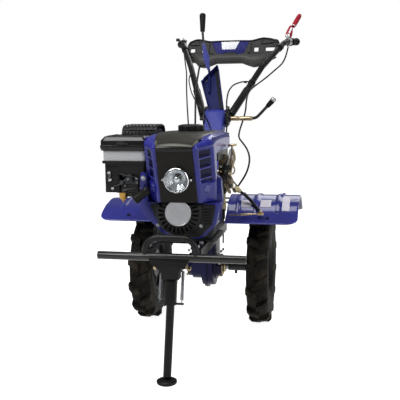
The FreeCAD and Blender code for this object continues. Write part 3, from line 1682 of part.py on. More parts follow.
build_cord("clutch_cable", CLUTCH_ROUTE, 3.5)
build_cord("loop_cable", LOOP_ROUTE, 3.0)
build_cord("throttle_cable", THROTTLE_ROUTE, 3.0)
build_cord("stop_wire_cable", WIRE_ROUTE, 2.5)
build_cord("sheath_hose", HOSE_ROUTE, 5.5)
build_cable_ends()

# ---- write the sub-parts ------------------------------------------------------------------

doc.recompute()
for item in doc.Objects:
    if "Invalid" in item.State or "Error" in item.State:
        raise RuntimeError(f"{item.Label} is {item.State}")
for item in nodes:
    if item.Shape.isNull() or not item.Shape.isValid():
        raise RuntimeError(f"{item.Label} has no valid shape")

os.makedirs("parts", exist_ok=True)
for item in nodes:
    item.Shape.exportStep(f"parts/{item.Label}.step")
    print(item.Label, round(item.Shape.Volume / 1000, 1), "cm3")
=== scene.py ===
import json
import math

import bmesh
import bpy
from mathutils import Matrix, Vector


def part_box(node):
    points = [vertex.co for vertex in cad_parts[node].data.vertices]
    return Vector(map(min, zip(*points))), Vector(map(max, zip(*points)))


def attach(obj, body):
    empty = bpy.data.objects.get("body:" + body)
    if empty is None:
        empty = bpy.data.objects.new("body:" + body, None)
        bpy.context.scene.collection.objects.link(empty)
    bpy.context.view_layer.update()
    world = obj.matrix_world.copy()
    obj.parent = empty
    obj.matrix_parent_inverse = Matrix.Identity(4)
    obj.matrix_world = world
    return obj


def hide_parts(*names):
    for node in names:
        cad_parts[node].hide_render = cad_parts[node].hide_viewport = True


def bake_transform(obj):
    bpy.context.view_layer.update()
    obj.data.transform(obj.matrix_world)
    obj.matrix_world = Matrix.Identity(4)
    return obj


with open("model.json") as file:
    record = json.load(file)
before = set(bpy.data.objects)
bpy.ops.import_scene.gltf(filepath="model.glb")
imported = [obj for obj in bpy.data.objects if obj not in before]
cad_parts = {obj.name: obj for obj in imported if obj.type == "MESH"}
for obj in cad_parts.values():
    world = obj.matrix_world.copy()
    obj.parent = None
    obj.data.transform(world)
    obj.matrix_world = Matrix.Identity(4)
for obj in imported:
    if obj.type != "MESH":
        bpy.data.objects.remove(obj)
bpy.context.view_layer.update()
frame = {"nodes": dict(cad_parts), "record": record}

# A walk-behind power weeder. Places are in millimetres from the middle of the wheel axle:
# X to the machine's own left-hand side, Y to the rear, Z up from the floor.

axle_low, axle_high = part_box("axle_shaft")
AXLE_Y = (axle_low[1] + axle_high[1]) / 2
CHASSIS = "chassis"
WHEELS = "wheel_shaft"
HANDLEBAR = "handlebar"
STAND = "front_stand"
CRANK = (17.0, 498.0)
HOOD_X = 22.0
LEAN = 68.0 / 166.0
FRONT = (0, -1, 0)


def place(x, y, z):
    """A place given in millimetres from the axle, as metres in the scene."""
    return Vector((x * 0.001, y * 0.001 + AXLE_Y, z * 0.001))


# ---- finishes --------------------------------------------------------------------------


def tint(code, alpha=1.0):
    """An sRGB hex colour as linear numbers."""
    parts = [int(code[i:i + 2], 16) / 255 for i in (1, 3, 5)]
    linear = [p / 12.92 if p <= 0.04045 else ((p + 0.055) / 1.055) ** 2.4 for p in parts]
    return (*linear, alpha)


def add_node(tree, kind, settings=None, **links):
    """Add one shader node, set it up and join its inputs; a link is (node, output)."""
    item = tree.nodes.new(kind)
    for name, value in (settings or {}).items():
        if name in item.inputs:
            item.inputs[name].default_value = value
        else:
            setattr(item, name, value)
    for name, (source, output) in links.items():
        tree.links.new(source.outputs[output], item.inputs[name.replace("_", " ")])
    return item


def new_finish(name, **sockets):
    """An empty material with its surface shader, set to constant values."""
    material = bpy.data.materials.new(name)
    material.use_nodes = True
    tree = material.node_tree
    shader = tree.nodes["Principled BSDF"]
    for socket, value in sockets.items():
        shader.inputs[socket.replace("_", " ")].default_value = value
    where = add_node(tree, "ShaderNodeTexCoord")
    return material, tree, shader, where


def grain(tree, where, per_mm, detail=3.0, rough=0.5):
    """Noise whose lumps are about 1 / per_mm millimetres across."""
    return add_node(
        tree, "ShaderNodeTexNoise",
        {"Scale": per_mm * 1000, "Detail": detail, "Roughness": rough},
        Vector=(where, "Object"),
    )


def bumped(tree, shader, noise, strength, depth_mm, output="Fac"):
    """Join a pattern to the shader's normal as a shallow relief."""
    bump = add_node(
        tree, "ShaderNodeBump",
        {"Strength": strength, "Distance": depth_mm * 0.001},
        Height=(noise, output),
    )
    tree.links.new(bump.outputs["Normal"], shader.inputs["Normal"])


def blended_colour(tree, shader, factor, first, second, output="Fac"):
    """Join a mix of two colours to the shader."""
    ramp = add_node(tree, "ShaderNodeMix", {"data_type": "RGBA"})
    ramp.inputs[6].default_value = tint(first)
    ramp.inputs[7].default_value = tint(second)
    tree.links.new(factor.outputs[output], ramp.inputs[0])
    tree.links.new(ramp.outputs[2], shader.inputs["Base Color"])
    return ramp


def gloss_paint(name, base, shade, rough=0.34, coat=0.35, shine=0.25):
    """Gloss powder coat on pressed steel: a wavy skin with fine orange peel."""
    material, tree, shader, where = new_finish(
        name, Roughness=rough, Coat_Weight=coat, Coat_Roughness=0.08, IOR=1.5, Specular_IOR_Level=shine,
    )
    clouds = grain(tree, where, 0.012, 4.0)
    level = add_node(tree, "ShaderNodeMapRange", {"From Min": 0.35, "From Max": 0.65}, Value=(clouds, "Fac"))
    blended_colour(tree, shader, level, base, shade, "Result")
    peel = grain(tree, where, 0.45, 2.0)
    bumped(tree, shader, peel, 0.10, 0.15)
    return material


def moulded_plastic(name, base, shade, rough=0.42, spark=0.6, shine=0.22):
    """Injection-moulded plastic with a fine spark-eroded texture."""
    material, tree, shader, where = new_finish(name, Roughness=rough, IOR=1.46, Specular_IOR_Level=shine)
    clouds = grain(tree, where, 0.02, 3.0)
    blended_colour(tree, shader, clouds, base, shade)
    sand = grain(tree, where, spark, 2.0)
    bumped(tree, shader, sand, 0.14, 0.12)
    return material


def lip_highlight_moulding(name, base, painted_highlight_colour):
    """The cover's own plastic, glossier, and paler toward the top of its lip: the paler colour is a painted
    highlight.
    """
    material, tree, shader, where = new_finish(name, Roughness=0.28, IOR=1.46, Specular_IOR_Level=0.36)
    height = add_node(tree, "ShaderNodeSeparateXYZ", Vector=(where, "Object"))
    level = add_node(tree, "ShaderNodeMapRange", {"From Min": 0.702, "From Max": 0.715}, Value=(height, "Z"))
    blended_colour(tree, shader, level, base, painted_highlight_colour, "Result")
    sand = grain(tree, where, 0.5, 2.0)
    bumped(tree, shader, sand, 0.1, 0.12)
    return material


def satin_paint(name, base, shade, rough=0.38, coat=0.08):
    """Satin black powder coat on welded tube, a little dusty in places."""
    material, tree, shader, where = new_finish(
        name, Roughness=rough, IOR=1.5, Specular_IOR_Level=0.25, Coat_Weight=coat, Coat_Roughness=0.15,
    )
    clouds = grain(tree, where, 0.03, 5.0, 0.6)
    level = add_node(tree, "ShaderNodeMapRange", {"From Min": 0.42, "From Max": 0.7}, Value=(clouds, "Fac"))
    blended_colour(tree, shader, level, base, shade, "Result")
    peel = grain(tree, where, 0.5, 2.0)
    bumped(tree, shader, peel, 0.12, 0.15)
    return material


def plated_steel(name, base, shade, rough=0.3, metallic=1.0):
    """Plated steel: bright, with faint cloudy passivation colour."""
    material, tree, shader, where = new_finish(name, Metallic=metallic)
    clouds = grain(tree, where, 0.08, 4.0)
    blended_colour(tree, shader, clouds, base, shade)
    dulling = add_node(
        tree, "ShaderNodeMapRange", {"To Min": rough * 0.7, "To Max": rough * 1.5}, Value=(clouds, "Fac"),
    )
    tree.links.new(dulling.outputs["Result"], shader.inputs["Roughness"])
    return material


def cast_metal(name, base, shade, metallic=1.0, rough=0.5):
    """Die-cast aluminium with a sandy skin."""
    material, tree, shader, where = new_finish(name, Metallic=metallic)
    clouds = grain(tree, where, 0.05, 5.0)
    blended_colour(tree, shader, clouds, base, shade)
    dulling = add_node(
        tree, "ShaderNodeMapRange", {"To Min": rough * 0.8, "To Max": rough * 1.2}, Value=(clouds, "Fac"),
    )
    tree.links.new(dulling.outputs["Result"], shader.inputs["Roughness"])
    sand = grain(tree, where, 0.7, 3.0)
    bumped(tree, shader, sand, 0.35, 0.25)
    return material


def rubber(name, base, dust, rough=0.62, dust_from=0.5):
    """Black rubber with a dusty bloom."""
    material, tree, shader, where = new_finish(name, Roughness=rough, IOR=1.5, Specular_IOR_Level=0.15)
    clouds = grain(tree, where, 0.02, 6.0, 0.65)
    level = add_node(
        tree, "ShaderNodeMapRange", {"From Min": dust_from, "From Max": dust_from + 0.3},
        Value=(clouds, "Fac"),
    )
    blended_colour(tree, shader, level, base, dust, "Result")
    pores = grain(tree, where, 0.9, 2.0)
    bumped(tree, shader, pores, 0.25, 0.2)
    return material


def clear_glass(name):
    """Pressed lamp glass: clear, with upright flutes about 6 mm apart on its inside."""
    material, tree, shader, where = new_finish(
        name, Base_Color=tint("#F4F7F8"), Roughness=0.04, Transmission_Weight=1.0, IOR=1.45,
    )
    flutes = add_node(
        tree, "ShaderNodeTexWave", {"Scale": 52.0, "Distortion": 1.5, "Detail": 1.0},
        Vector=(where, "Object"),
    )
    bumped(tree, shader, flutes, 0.6, 0.6)
    return material


FINISH = {
    # Powder coat and enamel: the deep violet blue that takes long soft highlights.
    "blue_paint": gloss_paint("blue_powder_coat", "#23267F", "#1F2272"),
    "hood_blue": gloss_paint("hood_powder_coat", "#26298A", "#22257C", 0.3, 0.35),
    # A paler blue for the duct slats and blisters: the paler colour is a painted highlight along their lips,
    # over a real high gloss.
    "blue_gloss": gloss_paint("blue_gloss_painted_highlight", "#2A2D92", "#25287F", 0.16, 1.0),
    "light_blue_paint": gloss_paint("light_blue_powder_coat", "#333B90", "#2E3586", 0.42, 0.05, 0.15),
    "gear_paint": gloss_paint("blue_casting_enamel", "#18184A", "#13133C", 0.36, 0.12, 0.12),
    # The guards are a little paler, and their rolled edges and bolt heads are paler still, a painted
    # highlight where they catch the light.
    "guard_paint": gloss_paint("guard_powder_coat", "#2C2F86", "#272A78", 0.3, 0.5),
    "guard_bead": gloss_paint("guard_edge_painted_highlight", "#3A3D9E", "#33368C", 0.25, 0.8),
    # Flat coats with hardly any gloss: the console's coat, darkened as painted shade inside its channel; the
    # gate plate; and a dark coat painted as shade in the hood's duct recesses.
    "console_blue": gloss_paint("console_coat_painted_shade", "#20265C", "#1A1F4E", 0.5, 0.0, 0.08),
    "leaf_blue": gloss_paint("gate_plate_coat", "#41458C", "#393D7E", 0.38, 0.25, 0.25),
    "deep_blue": gloss_paint("blue_coat_in_shade", "#10113A", "#0C0D2C", 0.4, 0.05, 0.15),
    # Satin powder coat: near-black tube with a broad grey highlight, glossier on the bumper.
    "black_paint": satin_paint("black_powder_coat", "#131314", "#1D1D1F"),
    "bar_black": satin_paint("bumper_powder_coat", "#1B1B1A", "#262523", 0.3, 0.45),
    "leg_black": satin_paint("stand_powder_coat", "#090909", "#10100F", 0.45, 0.0),
    # Heat-resistant black: flat on the silencer, with a sheen on its small fittings.
    "heat_black": satin_paint("heat_resistant_black", "#19191A", "#262524", 0.5),
    "heat_gloss": satin_paint("heat_resistant_gloss_black", "#17181A", "#222326", 0.28),
    # Black mouldings: soft grey sheen over a sparked skin, and a glossy lid on the air cleaner.
    "black_plastic": moulded_plastic("black_moulding", "#171717", "#1E1E1F"),
    "gloss_plastic": moulded_plastic("black_gloss_moulding", "#111112", "#161617", 0.2, 0.3, 0.45),
    "pouch_grey": moulded_plastic("grey_black_moulding", "#414140", "#4A4A48", 0.45),
    "tank_black": moulded_plastic("tank_polyethylene", "#262623", "#2E2E2A", 0.34, 0.5),
    # The cover over the nose and tank: brown-black in front, paler on its upward faces, and paler toward the
    # top of its lip as a painted highlight.
    "cover_black": moulded_plastic("cover_moulding", "#1A1917", "#201F1B", 0.34, 0.6, 0.14),
    "cover_lip": lip_highlight_moulding("cover_moulding_painted_lip_highlight", "#171614", "#66655C"),
    "cover_top": moulded_plastic("cover_moulding_paler_top", "#26251F", "#2E2D27", 0.32, 0.6, 0.24),
    # Coloured mouldings and bare vinyl: plain, soft-edged patches of colour.
    "silver_plastic": moulded_plastic("silver_moulding", "#C6C8C9", "#B6B8BA", 0.35),
    "blue_plastic": moulded_plastic("blue_moulding", "#232468", "#1E1F5C", 0.4, 0.6, 0.12),
    "white_plate": moulded_plastic("white_blank_plate", "#E8EAF0", "#DEE0E8", 0.4),
    "cream_plastic": moulded_plastic("cream_connector_nylon", "#C9BE9A", "#B5A983", 0.5),
    "red_plastic": moulded_plastic("red_lever_moulding", "#A92836", "#98222F", 0.35),
    "sticker": moulded_plastic("bare_vinyl_sticker", "#CFCBD6", "#C4C0CE", 0.45),
    # Yellow zinc: warm straw metal, bright on levers and dusty on the hidden plates.
    "zinc": plated_steel("yellow_zinc_plate", "#C2AE8A", "#A8977C"),
    "beige_zinc": plated_steel("dusty_zinc_plate", "#B9AE9A", "#A0978A", 0.42, 0.8),
    "dusty_steel": plated_steel("dusty_yellow_zinc", "#B3A78F", "#8A7F6B", 0.5, 0.5),
    # Bright plating and polished metal: cold sparks on bolts, the lamp's rim and its reflector.
    "bright_zinc": plated_steel("bright_zinc_plate", "#C3C6C8", "#A9ADB2", 0.25),
    "chrome": plated_steel("chrome_plate", "#E2E4E6", "#D6D8DB", 0.08),
    "reflector": plated_steel("aluminised_reflector", "#D9DBDD", "#BFC2C5", 0.12),
    "badge": plated_steel("brushed_badge_aluminium", "#B4B5B8", "#A2A3A6", 0.34),
    "satin_alloy": plated_steel("satin_alloy_casting", "#B7B9BB", "#8E9194", 0.36),
    # Bare and oiled metal: duller greys, and the warm brass of the fuel bowl.
    "steel": plated_steel("machined_steel", "#9A9CA0", "#85878B", 0.32),
    "dark_steel": plated_steel("oiled_steel", "#6E7073", "#4E5054", 0.35),
    "brass": plated_steel("passivated_brass", "#C79F52", "#A98443", 0.3),
    # Sand-cast skins: grainy grey that never mirrors.
    "cast_aluminium": cast_metal("cast_aluminium", "#8E9092", "#7B7D80"),
    "dark_casting": cast_metal("dark_zinc_casting", "#4A4B4D", "#38393B"),
    # Rubber: black with a brown dust on the tyres and a slight shine on the cables.
    "tyre_rubber": rubber("tyre_rubber", "#151310", "#403A30", 0.7, 0.47),
    "grip_rubber": rubber("grip_rubber", "#131313", "#222221", 0.6, 0.6),
    "cable_black": rubber("cable_sheath", "#151515", "#1F1F1F", 0.4, 0.6),
    # Pressed glass: a clear lens whose flutes break up the reflector behind it.
    "lamp_glass": clear_glass("pressed_lamp_glass"),
}

# ---- shaping tools -----------------------------------------------------------------------


def deselect():
    if bpy.context.object and bpy.context.object.mode != "OBJECT":
        bpy.ops.object.mode_set(mode="OBJECT")
    bpy.ops.object.select_all(action="DESELECT")


def only(piece):
    """Make a piece the one selected and active object."""
    deselect()
    piece.select_set(True)
    bpy.context.view_layer.objects.active = piece


def named(name):
    piece = bpy.context.object
    piece.name = name
    return piece


def edit(piece):
    only(piece)
    bpy.ops.object.mode_set(mode="EDIT")
    return bmesh.from_edit_mesh(piece.data)


def leave_edit():
    bpy.ops.object.mode_set(mode="OBJECT")


def pick(mesh, kind, test):
    """Select the faces, edges or points of the edit mesh that pass a test, and nothing else."""
    bpy.ops.mesh.select_mode(type={"verts": "VERT", "edges": "EDGE", "faces": "FACE"}[kind])
    bpy.ops.mesh.select_all(action="DESELECT")
    for item in getattr(mesh, kind):
        if test(item):
            item.select_set(True)
    mesh.select_flush_mode()


def softened(piece, width, segments=2, angle=35):
    """Round a piece's sharp edges by a width in millimetres."""
    only(piece)
    bevel = piece.modifiers.new("soft_edges", "BEVEL")
    bevel.width = width * 0.001
    bevel.segments = segments
    bevel.limit_method = "ANGLE"
    bevel.angle_limit = math.radians(angle)
    bevel.use_clamp_overlap = True
    bpy.ops.object.modifier_apply(modifier=bevel.name)


def fitted(piece, body, finish, *nodes, slot=None, smooth=30):
    """Finish a piece: bake its place, point its faces out, colour it and mount it."""
    only(piece)
    bpy.ops.object.transform_apply(location=True, rotation=True, scale=True)
    bpy.ops.object.mode_set(mode="EDIT")
    bpy.ops.mesh.select_all(action="SELECT")
    bpy.ops.mesh.normals_make_consistent(inside=False)
    bpy.ops.object.mode_set(mode="OBJECT")
    if smooth:
        bpy.ops.object.shade_smooth_by_angle(angle=math.radians(smooth))
    if not piece.data.materials:
        piece.data.materials.append(FINISH[finish])
    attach(piece, body)
    if nodes:
        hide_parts(*nodes)
    return piece


def joined(name, pieces):
    """Join several pieces into one."""
    deselect()
    for piece in pieces:
        piece.select_set(True)
    bpy.context.view_layer.objects.active = pieces[0]
    bpy.ops.object.join()
    return named(name)


def toward(direction):
    """The turn that stands a piece's own Z along a direction."""
    return Vector((0, 0, 1)).rotation_difference(Vector(direction)).to_matrix().to_4x4()


def lathe(name, spot, direction, profile, sides=48):
    """A round piece drawn up from a ring: each step extrudes along the axis and resizes."""
    deselect()
    start, radius = profile[0]
    bpy.ops.mesh.primitive_circle_add(
        vertices=sides, radius=max(radius, 0.05) * 0.001, location=(0, 0, start * 0.001),
    )
    piece = named(name)
    bpy.ops.object.transform_apply(location=True)
    mesh = edit(piece)
    bpy.ops.mesh.select_all(action="SELECT")
    before = max(radius, 0.05)
    for along, ring in profile[1:]:
        ring = max(ring, 0.05)
        bpy.ops.mesh.extrude_edges_move(TRANSFORM_OT_translate={"value": (0, 0, (along - start) * 0.001)})
        share = ring / before
        bpy.ops.transform.resize(value=(share, share, 1), center_override=(0, 0, along * 0.001))
        start, before = along, ring
    bpy.ops.mesh.select_all(action="SELECT")
    bpy.ops.mesh.remove_doubles(threshold=0.00002)
    bpy.ops.mesh.select_mode(type="EDGE")
    bpy.ops.mesh.select_all(action="DESELECT")
    bpy.ops.mesh.select_non_manifold(
        extend=False, use_wire=False, use_multi_face=False, use_non_contiguous=False, use_verts=False,
    )
    if any(edge.select for edge in bmesh.from_edit_mesh(piece.data).edges):
        bpy.ops.mesh.fill()
    leave_edit()
    piece.matrix_world = Matrix.Translation(place(*spot)) @ toward(direction)
    return piece


def slab(name, x0, x1, y0, y1, z0, z1):
    """A box at its size and place, ready to be shaped."""
    deselect()
    centre = place((x0 + x1) / 2, (y0 + y1) / 2, (z0 + z1) / 2)
    bpy.ops.mesh.primitive_cube_add(size=1, location=centre)
    piece = named(name)
    piece.scale = (abs(x1 - x0) * 0.001, abs(y1 - y0) * 0.001, abs(z1 - z0) * 0.001)
    bpy.ops.object.transform_apply(location=True, rotation=True, scale=True)
    return piece


def bar(name, points, radius, resolution=3, smooth=True, cyclic=False):
    """A bent rod through places, drawn as a bevelled curve and made a mesh."""
    curve = bpy.data.curves.new(name, "CURVE")
    curve.dimensions = "3D"
    line = curve.splines.new("NURBS" if smooth else "POLY")
    line.points.add(len(points) - 1)
    for point, spot in zip(line.points, points):
        point.co = (*place(*spot), 1)
    if smooth:
        line.order_u = 3
        line.use_endpoint_u = True
        line.resolution_u = 8
    line.use_cyclic_u = cyclic
    curve.bevel_depth = radius * 0.001
    curve.bevel_resolution = resolution
    curve.use_fill_caps = True
    piece = bpy.data.objects.new(name, curve)
    bpy.context.scene.collection.objects.link(piece)
    only(piece)
    bpy.ops.object.convert(target="MESH")
    return named(name)


def from_node(node, name, width=1.0, angle=35, segments=2):
    """A clean copy of a machined or pressed part: merged, with its sharp edges rounded."""
    source = frame["nodes"][node]
    piece = bpy.data.objects.new(name, source.data.copy())
    piece.data.materials.clear()
    bpy.context.scene.collection.objects.link(piece)
    only(piece)
    bpy.ops.object.mode_set(mode="EDIT")
    bpy.ops.mesh.select_all(action="SELECT")
    bpy.ops.mesh.remove_doubles(threshold=0.00001)
    bpy.ops.mesh.dissolve_limited(angle_limit=math.radians(1.0))
    bpy.ops.object.mode_set(mode="OBJECT")
    if width:
        softened(piece, width, segments, angle)
    return piece


def hex_bolt(name, spot, direction, across, height, washer=True):
    """A hexagon head with a chamfered top on a flat washer."""
    deselect()
    radius = across / math.sqrt(3)
    bpy.ops.mesh.primitive_cylinder_add(vertices=6, radius=radius * 0.001, depth=height * 0.001)
    head = named(name)
    mesh = edit(head)
    pick(mesh, "faces", lambda f: f.normal.z > 0.9)
    bpy.ops.mesh.inset(thickness=radius * 0.00014)
    bpy.ops.transform.translate(value=(0, 0, height * 0.00012))
    bpy.ops.mesh.inset(thickness=radius * 0.0003)
    bpy.ops.transform.translate(value=(0, 0, -height * 0.0001))
    leave_edit()
    lift = height / 2 + (1.2 if washer else 0)
    head.data.transform(Matrix.Translation((0, 0, lift * 0.001)))
    parts = [head]
    if washer:
        bpy.ops.mesh.primitive_cylinder_add(
            vertices=20, radius=radius * 0.00125, depth=0.0012, location=(0, 0, 0.0006),
        )
        plate = named("washer")
        bpy.ops.object.transform_apply(location=True)
        parts.append(plate)
    piece = joined(name, parts)
    piece.matrix_world = Matrix.Translation(place(*spot)) @ toward(direction)
    return piece


def bolts(name, body, finish, spots, across=10, height=5, washer=True, slot=None):
    """A set of bolts on one body: each spot is a place and the way it faces."""
    heads = [hex_bolt("bolt", spot, way, across, height, washer) for spot, way in spots]
    for head in heads:
        only(head)
        bpy.ops.object.transform_apply(location=True, rotation=True, scale=True)
    return fitted(joined(name, heads) if len(heads) > 1 else heads[0], body, finish, slot=slot)


def rods(name, body, finish, lines, slot=None, smooth=60):
    """A set of bent rods on one body: each line is a radius and the places it runs through."""
    pieces = [bar("rod", points, radius) for radius, points in lines]
    return fitted(joined(name, pieces), body, finish, slot=slot, smooth=smooth)


def rounded_block(name, box, rounding, segments, finish, slot=None):
    """A chassis block: its box (x0, x1, y0, y1, z0, z1) with rounded edges."""
    piece = slab(name, *box)
    softened(piece, rounding, segments)
    return fitted(piece, CHASSIS, finish, slot=slot)


def front_plate(outline, thick, spot, rounding, across=(1, 0, 0)):
    """A flat pressing that faces the machine's front."""
    return pressing("plate", outline, thick, spot, across, FRONT, rounding)

# ---- control cables ----------------------------------------------------------------------
# Each sheathed cable hangs in one smooth line through its route; its length is listed beside it.

CABLES = {
    "clutch_cable": (0.007, 1.141, "medium", [
        (0.253, 0.778, 1.078), (0.247, 0.756, 1.040), (0.232, 0.716, 1.000), (0.200, 0.664, 0.968),
        (0.167, 0.586, 0.931), (0.133, 0.508, 0.900), (0.110, 0.442, 0.874), (0.106, 0.388, 0.836),
        (0.109, 0.346, 0.792), (0.102, 0.300, 0.748), (0.096, 0.246, 0.712), (0.101, 0.182, 0.688),
        (0.126, 0.116, 0.672), (0.154, 0.050, 0.650), (0.171, -0.014, 0.622), (0.172, -0.074, 0.588),
        (0.160, -0.124, 0.556), (0.144, -0.158, 0.532),
    ]),
    "loop_cable": (0.006, 0.561, "medium", [
        (0.101, 0.424, 0.908), (0.092, 0.394, 0.914), (0.080, 0.362, 0.908), (0.060, 0.332, 0.900),
        (0.044, 0.300, 0.876), (0.042, 0.262, 0.842), (0.048, 0.216, 0.808), (0.056, 0.168, 0.772),
        (0.064, 0.120, 0.728), (0.064, 0.078, 0.676), (0.054, 0.052, 0.624), (0.044, 0.044, 0.569),
    ]),
    "throttle_cable": (0.006, 1.181, "medium", [
        (-0.246, 0.772, 1.078), (-0.238, 0.752, 1.040), (-0.225, 0.712, 1.000), (-0.210, 0.664, 0.962),
        (-0.195, 0.588, 0.924), (-0.178, 0.508, 0.886), (-0.160, 0.428, 0.850), (-0.142, 0.348, 0.816),
        (-0.123, 0.268, 0.784), (-0.104, 0.186, 0.752), (-0.084, 0.104, 0.722), (-0.066, 0.022, 0.692),
        (-0.054, -0.058, 0.660), (-0.046, -0.136, 0.628), (-0.040, -0.206, 0.596),
        (-0.038, -0.254, 0.566),
    ]),
    "stop_wire_cable": (0.005, 0.610, "limp", [
        (-0.150, 0.430, 0.918), (-0.138, 0.400, 0.880), (-0.112, 0.346, 0.846), (-0.076, 0.272, 0.814),
        (-0.042, 0.200, 0.782), (-0.012, 0.140, 0.748), (0.012, 0.088, 0.712), (0.030, 0.044, 0.668),
        (0.040, 0.012, 0.620), (0.042, 0.006, 0.567),
    ]),
    "sheath_hose": (0.011, 0.118, "stiff", [
        (0.152, -0.140, 0.514), (0.172, -0.131, 0.497), (0.192, -0.133, 0.478), (0.208, -0.145, 0.463),
        (0.219, -0.159, 0.453), (0.226, -0.174, 0.446),
    ]),
}


# the places between which each cable leaves the handlebar for the chassis
CROSSING = {
    "clutch_cable": ((0.152, 0.530, 0.900), (0.104, 0.210, 0.700)),
    "throttle_cable": ((-0.182, 0.530, 0.895), (-0.112, 0.220, 0.765)),
    "loop_cable": ((0.100, 0.410, 0.910), (0.048, 0.216, 0.808)),
    "stop_wire_cable": ((-0.146, 0.420, 0.906), (-0.060, 0.240, 0.798)),
}


def lay_cable(name, diameter, route):
    """A round sheath swept along its route."""
    curve = bpy.data.curves.new(name, "CURVE")
    curve.dimensions = "3D"
    line = curve.splines.new("NURBS")
    line.points.add(len(route) - 1)
    for point, (x, y, z) in zip(line.points, route):
        point.co = (x, y + AXLE_Y, z, 1)
    line.order_u = 3
    line.use_endpoint_u = True
    line.resolution_u = 10
    cable = bpy.data.objects.new(name + "_sheath", curve)
    bpy.context.scene.collection.objects.link(cable)
    bare = bpy.data.meshes.new_from_object(cable)
    bpy.data.meshes.remove(bare)
    curve.bevel_depth = diameter / 2
    curve.bevel_resolution = 3
    curve.use_fill_caps = True
    if name in CROSSING:
        only(cable)
        bpy.ops.object.convert(target="MESH")
        cable = bpy.context.object
        cable.data.materials.append(FINISH["cable_black"])
        bpy.ops.object.shade_smooth_by_angle(angle=math.radians(60))
    else:
        curve.materials.append(FINISH["cable_black"])
    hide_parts(name)
    if name in CROSSING:
        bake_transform(cable)
    else:
        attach(cable, CHASSIS)
    return cable


for cable_name, (cable_width, cable_length, cable_feel, cable_route) in CABLES.items():
    lay_cable(cable_name, cable_width, cable_route)

# ---- parts kept from the machined and pressed shapes, with their edges rounded -----------

SLOT_OF = {part["node"]: part["material_slot"] for part in frame["record"]["subparts"]}
BODY_OF = {}
for body_name, members in frame["record"]["behaviour"]["bodies"].items():
    for member in members:
        BODY_OF[member] = body_name


FINISH_OF = {
    "engine_block": "dark_casting", "cylinder_head": "dark_casting", "carburettor": "dark_casting",
    # The console's coat is darkened as painted shade inside its channel.
    "gear_console": "console_blue", "gate_plate": "leaf_blue", "front_crossbar": "bar_black",
    "stand_bracket": "leg_black", "stand_leg": "leg_black", "stand_foot": "leg_black",
        "wheel_rims": "leg_black",
    "air_filter_cover": "gloss_plastic",
}


def eased(node, width, finish=None, angle=35, segments=2, smooth=30):
    """A CAD part with its sharp edges eased, in its finish and on its own body."""
    piece = from_node(node, node + "_eased", width, angle, segments)
    if smooth:
        bpy.ops.object.shade_smooth_by_angle(angle=math.radians(smooth))
    piece.data.materials.append(FINISH[finish or SLOT_OF[node]])
    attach(piece, BODY_OF[node])
    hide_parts(node)
    return piece


for plain_node, plain_width in (
    ("wheel_rims", 1.0), ("axle_shaft", 0.8), ("wheel_hubs", 1.0),
    ("gearbox", 3.0), ("bearing_caps", 0.8), ("clutch_housing", 2.0),
    ("engine_bed", 0.8), ("front_crossbar", 0.5), ("front_hoop", 0.4),
    ("stand_bracket", 0.8), ("rear_hitch", 1.5), ("fender_stays", 0.6),
    ("engine_block", 3.0), ("cylinder_head", 0.8), ("carburettor", 1.0), ("fan_shroud", 3.0),
    ("recoil_cover", 0.7),
    ("air_filter_base", 2.0), ("air_filter_band", 1.0), ("air_filter_cover", 2.5),
    ("muffler", 1.0), ("muffler_guard", 0.8), ("control_brackets", 0.6),
    ("tank_cap", 1.2), ("side_panels", 1.2),
    ("handle_column", 2.5), ("gear_console", 0.9), ("gate_plate", 0.6),
    ("shift_rods", 0.4), ("cable_connectors", 0.8), ("handlebar_hub", 1.5), ("handle_tubes", 0.4),
    ("panel_brackets", 0.8), ("panel_insert", 0.5),
    ("stand_leg", 1.0), ("stand_foot", 1.5),
):
    eased(plain_node, plain_width, FINISH_OF.get(plain_node))

# ---- wheels ------------------------------------------------------------------------------

AXLE_Z = 210.0
WHEEL_X = 215
LUGS = 13


def tread_radius(across):
    """The carcass radius under the lugs, across the tread."""
    share = min(abs(across) / 40.0, 1.0)
    return 194.0 - 12.0 * share ** 3


def build_lug(hand):
    """One herringbone lug: a sloping bar from the tread's middle over its shoulder."""
    lug = slab("lug", -1, 1, -1, 1, -1, 1)
    mesh = edit(lug)
    bpy.ops.mesh.select_all(action="SELECT")
    bpy.ops.mesh.subdivide(number_cuts=3)
    for point in mesh.verts:
        across = point.co.x * 1000
        round_tyre = (point.co.y - AXLE_Y) * 1000
        lift = (point.co.z * 1000 + 1) / 2
        share = (across + 1) / 2
        x = -3 + 42.5 * share
        base = tread_radius(x) - 4
        crown = 210.0 - 1.2 * share - (9.0 * (share - 0.8) / 0.2 if share > 0.8 else 0.0)
        radius = base + (crown - base) * lift
        width = 15.0 - 2.5 * lift
        along = round_tyre * width + 25.0 * share
        angle = along / 210.0
        point.co = Vector((
            hand * x * 0.001, radius * 0.001 * math.sin(angle), radius * 0.001 * math.cos(angle),
        ))
    leave_edit()
    softened(lug, 1.4, 1, 40)
    return lug


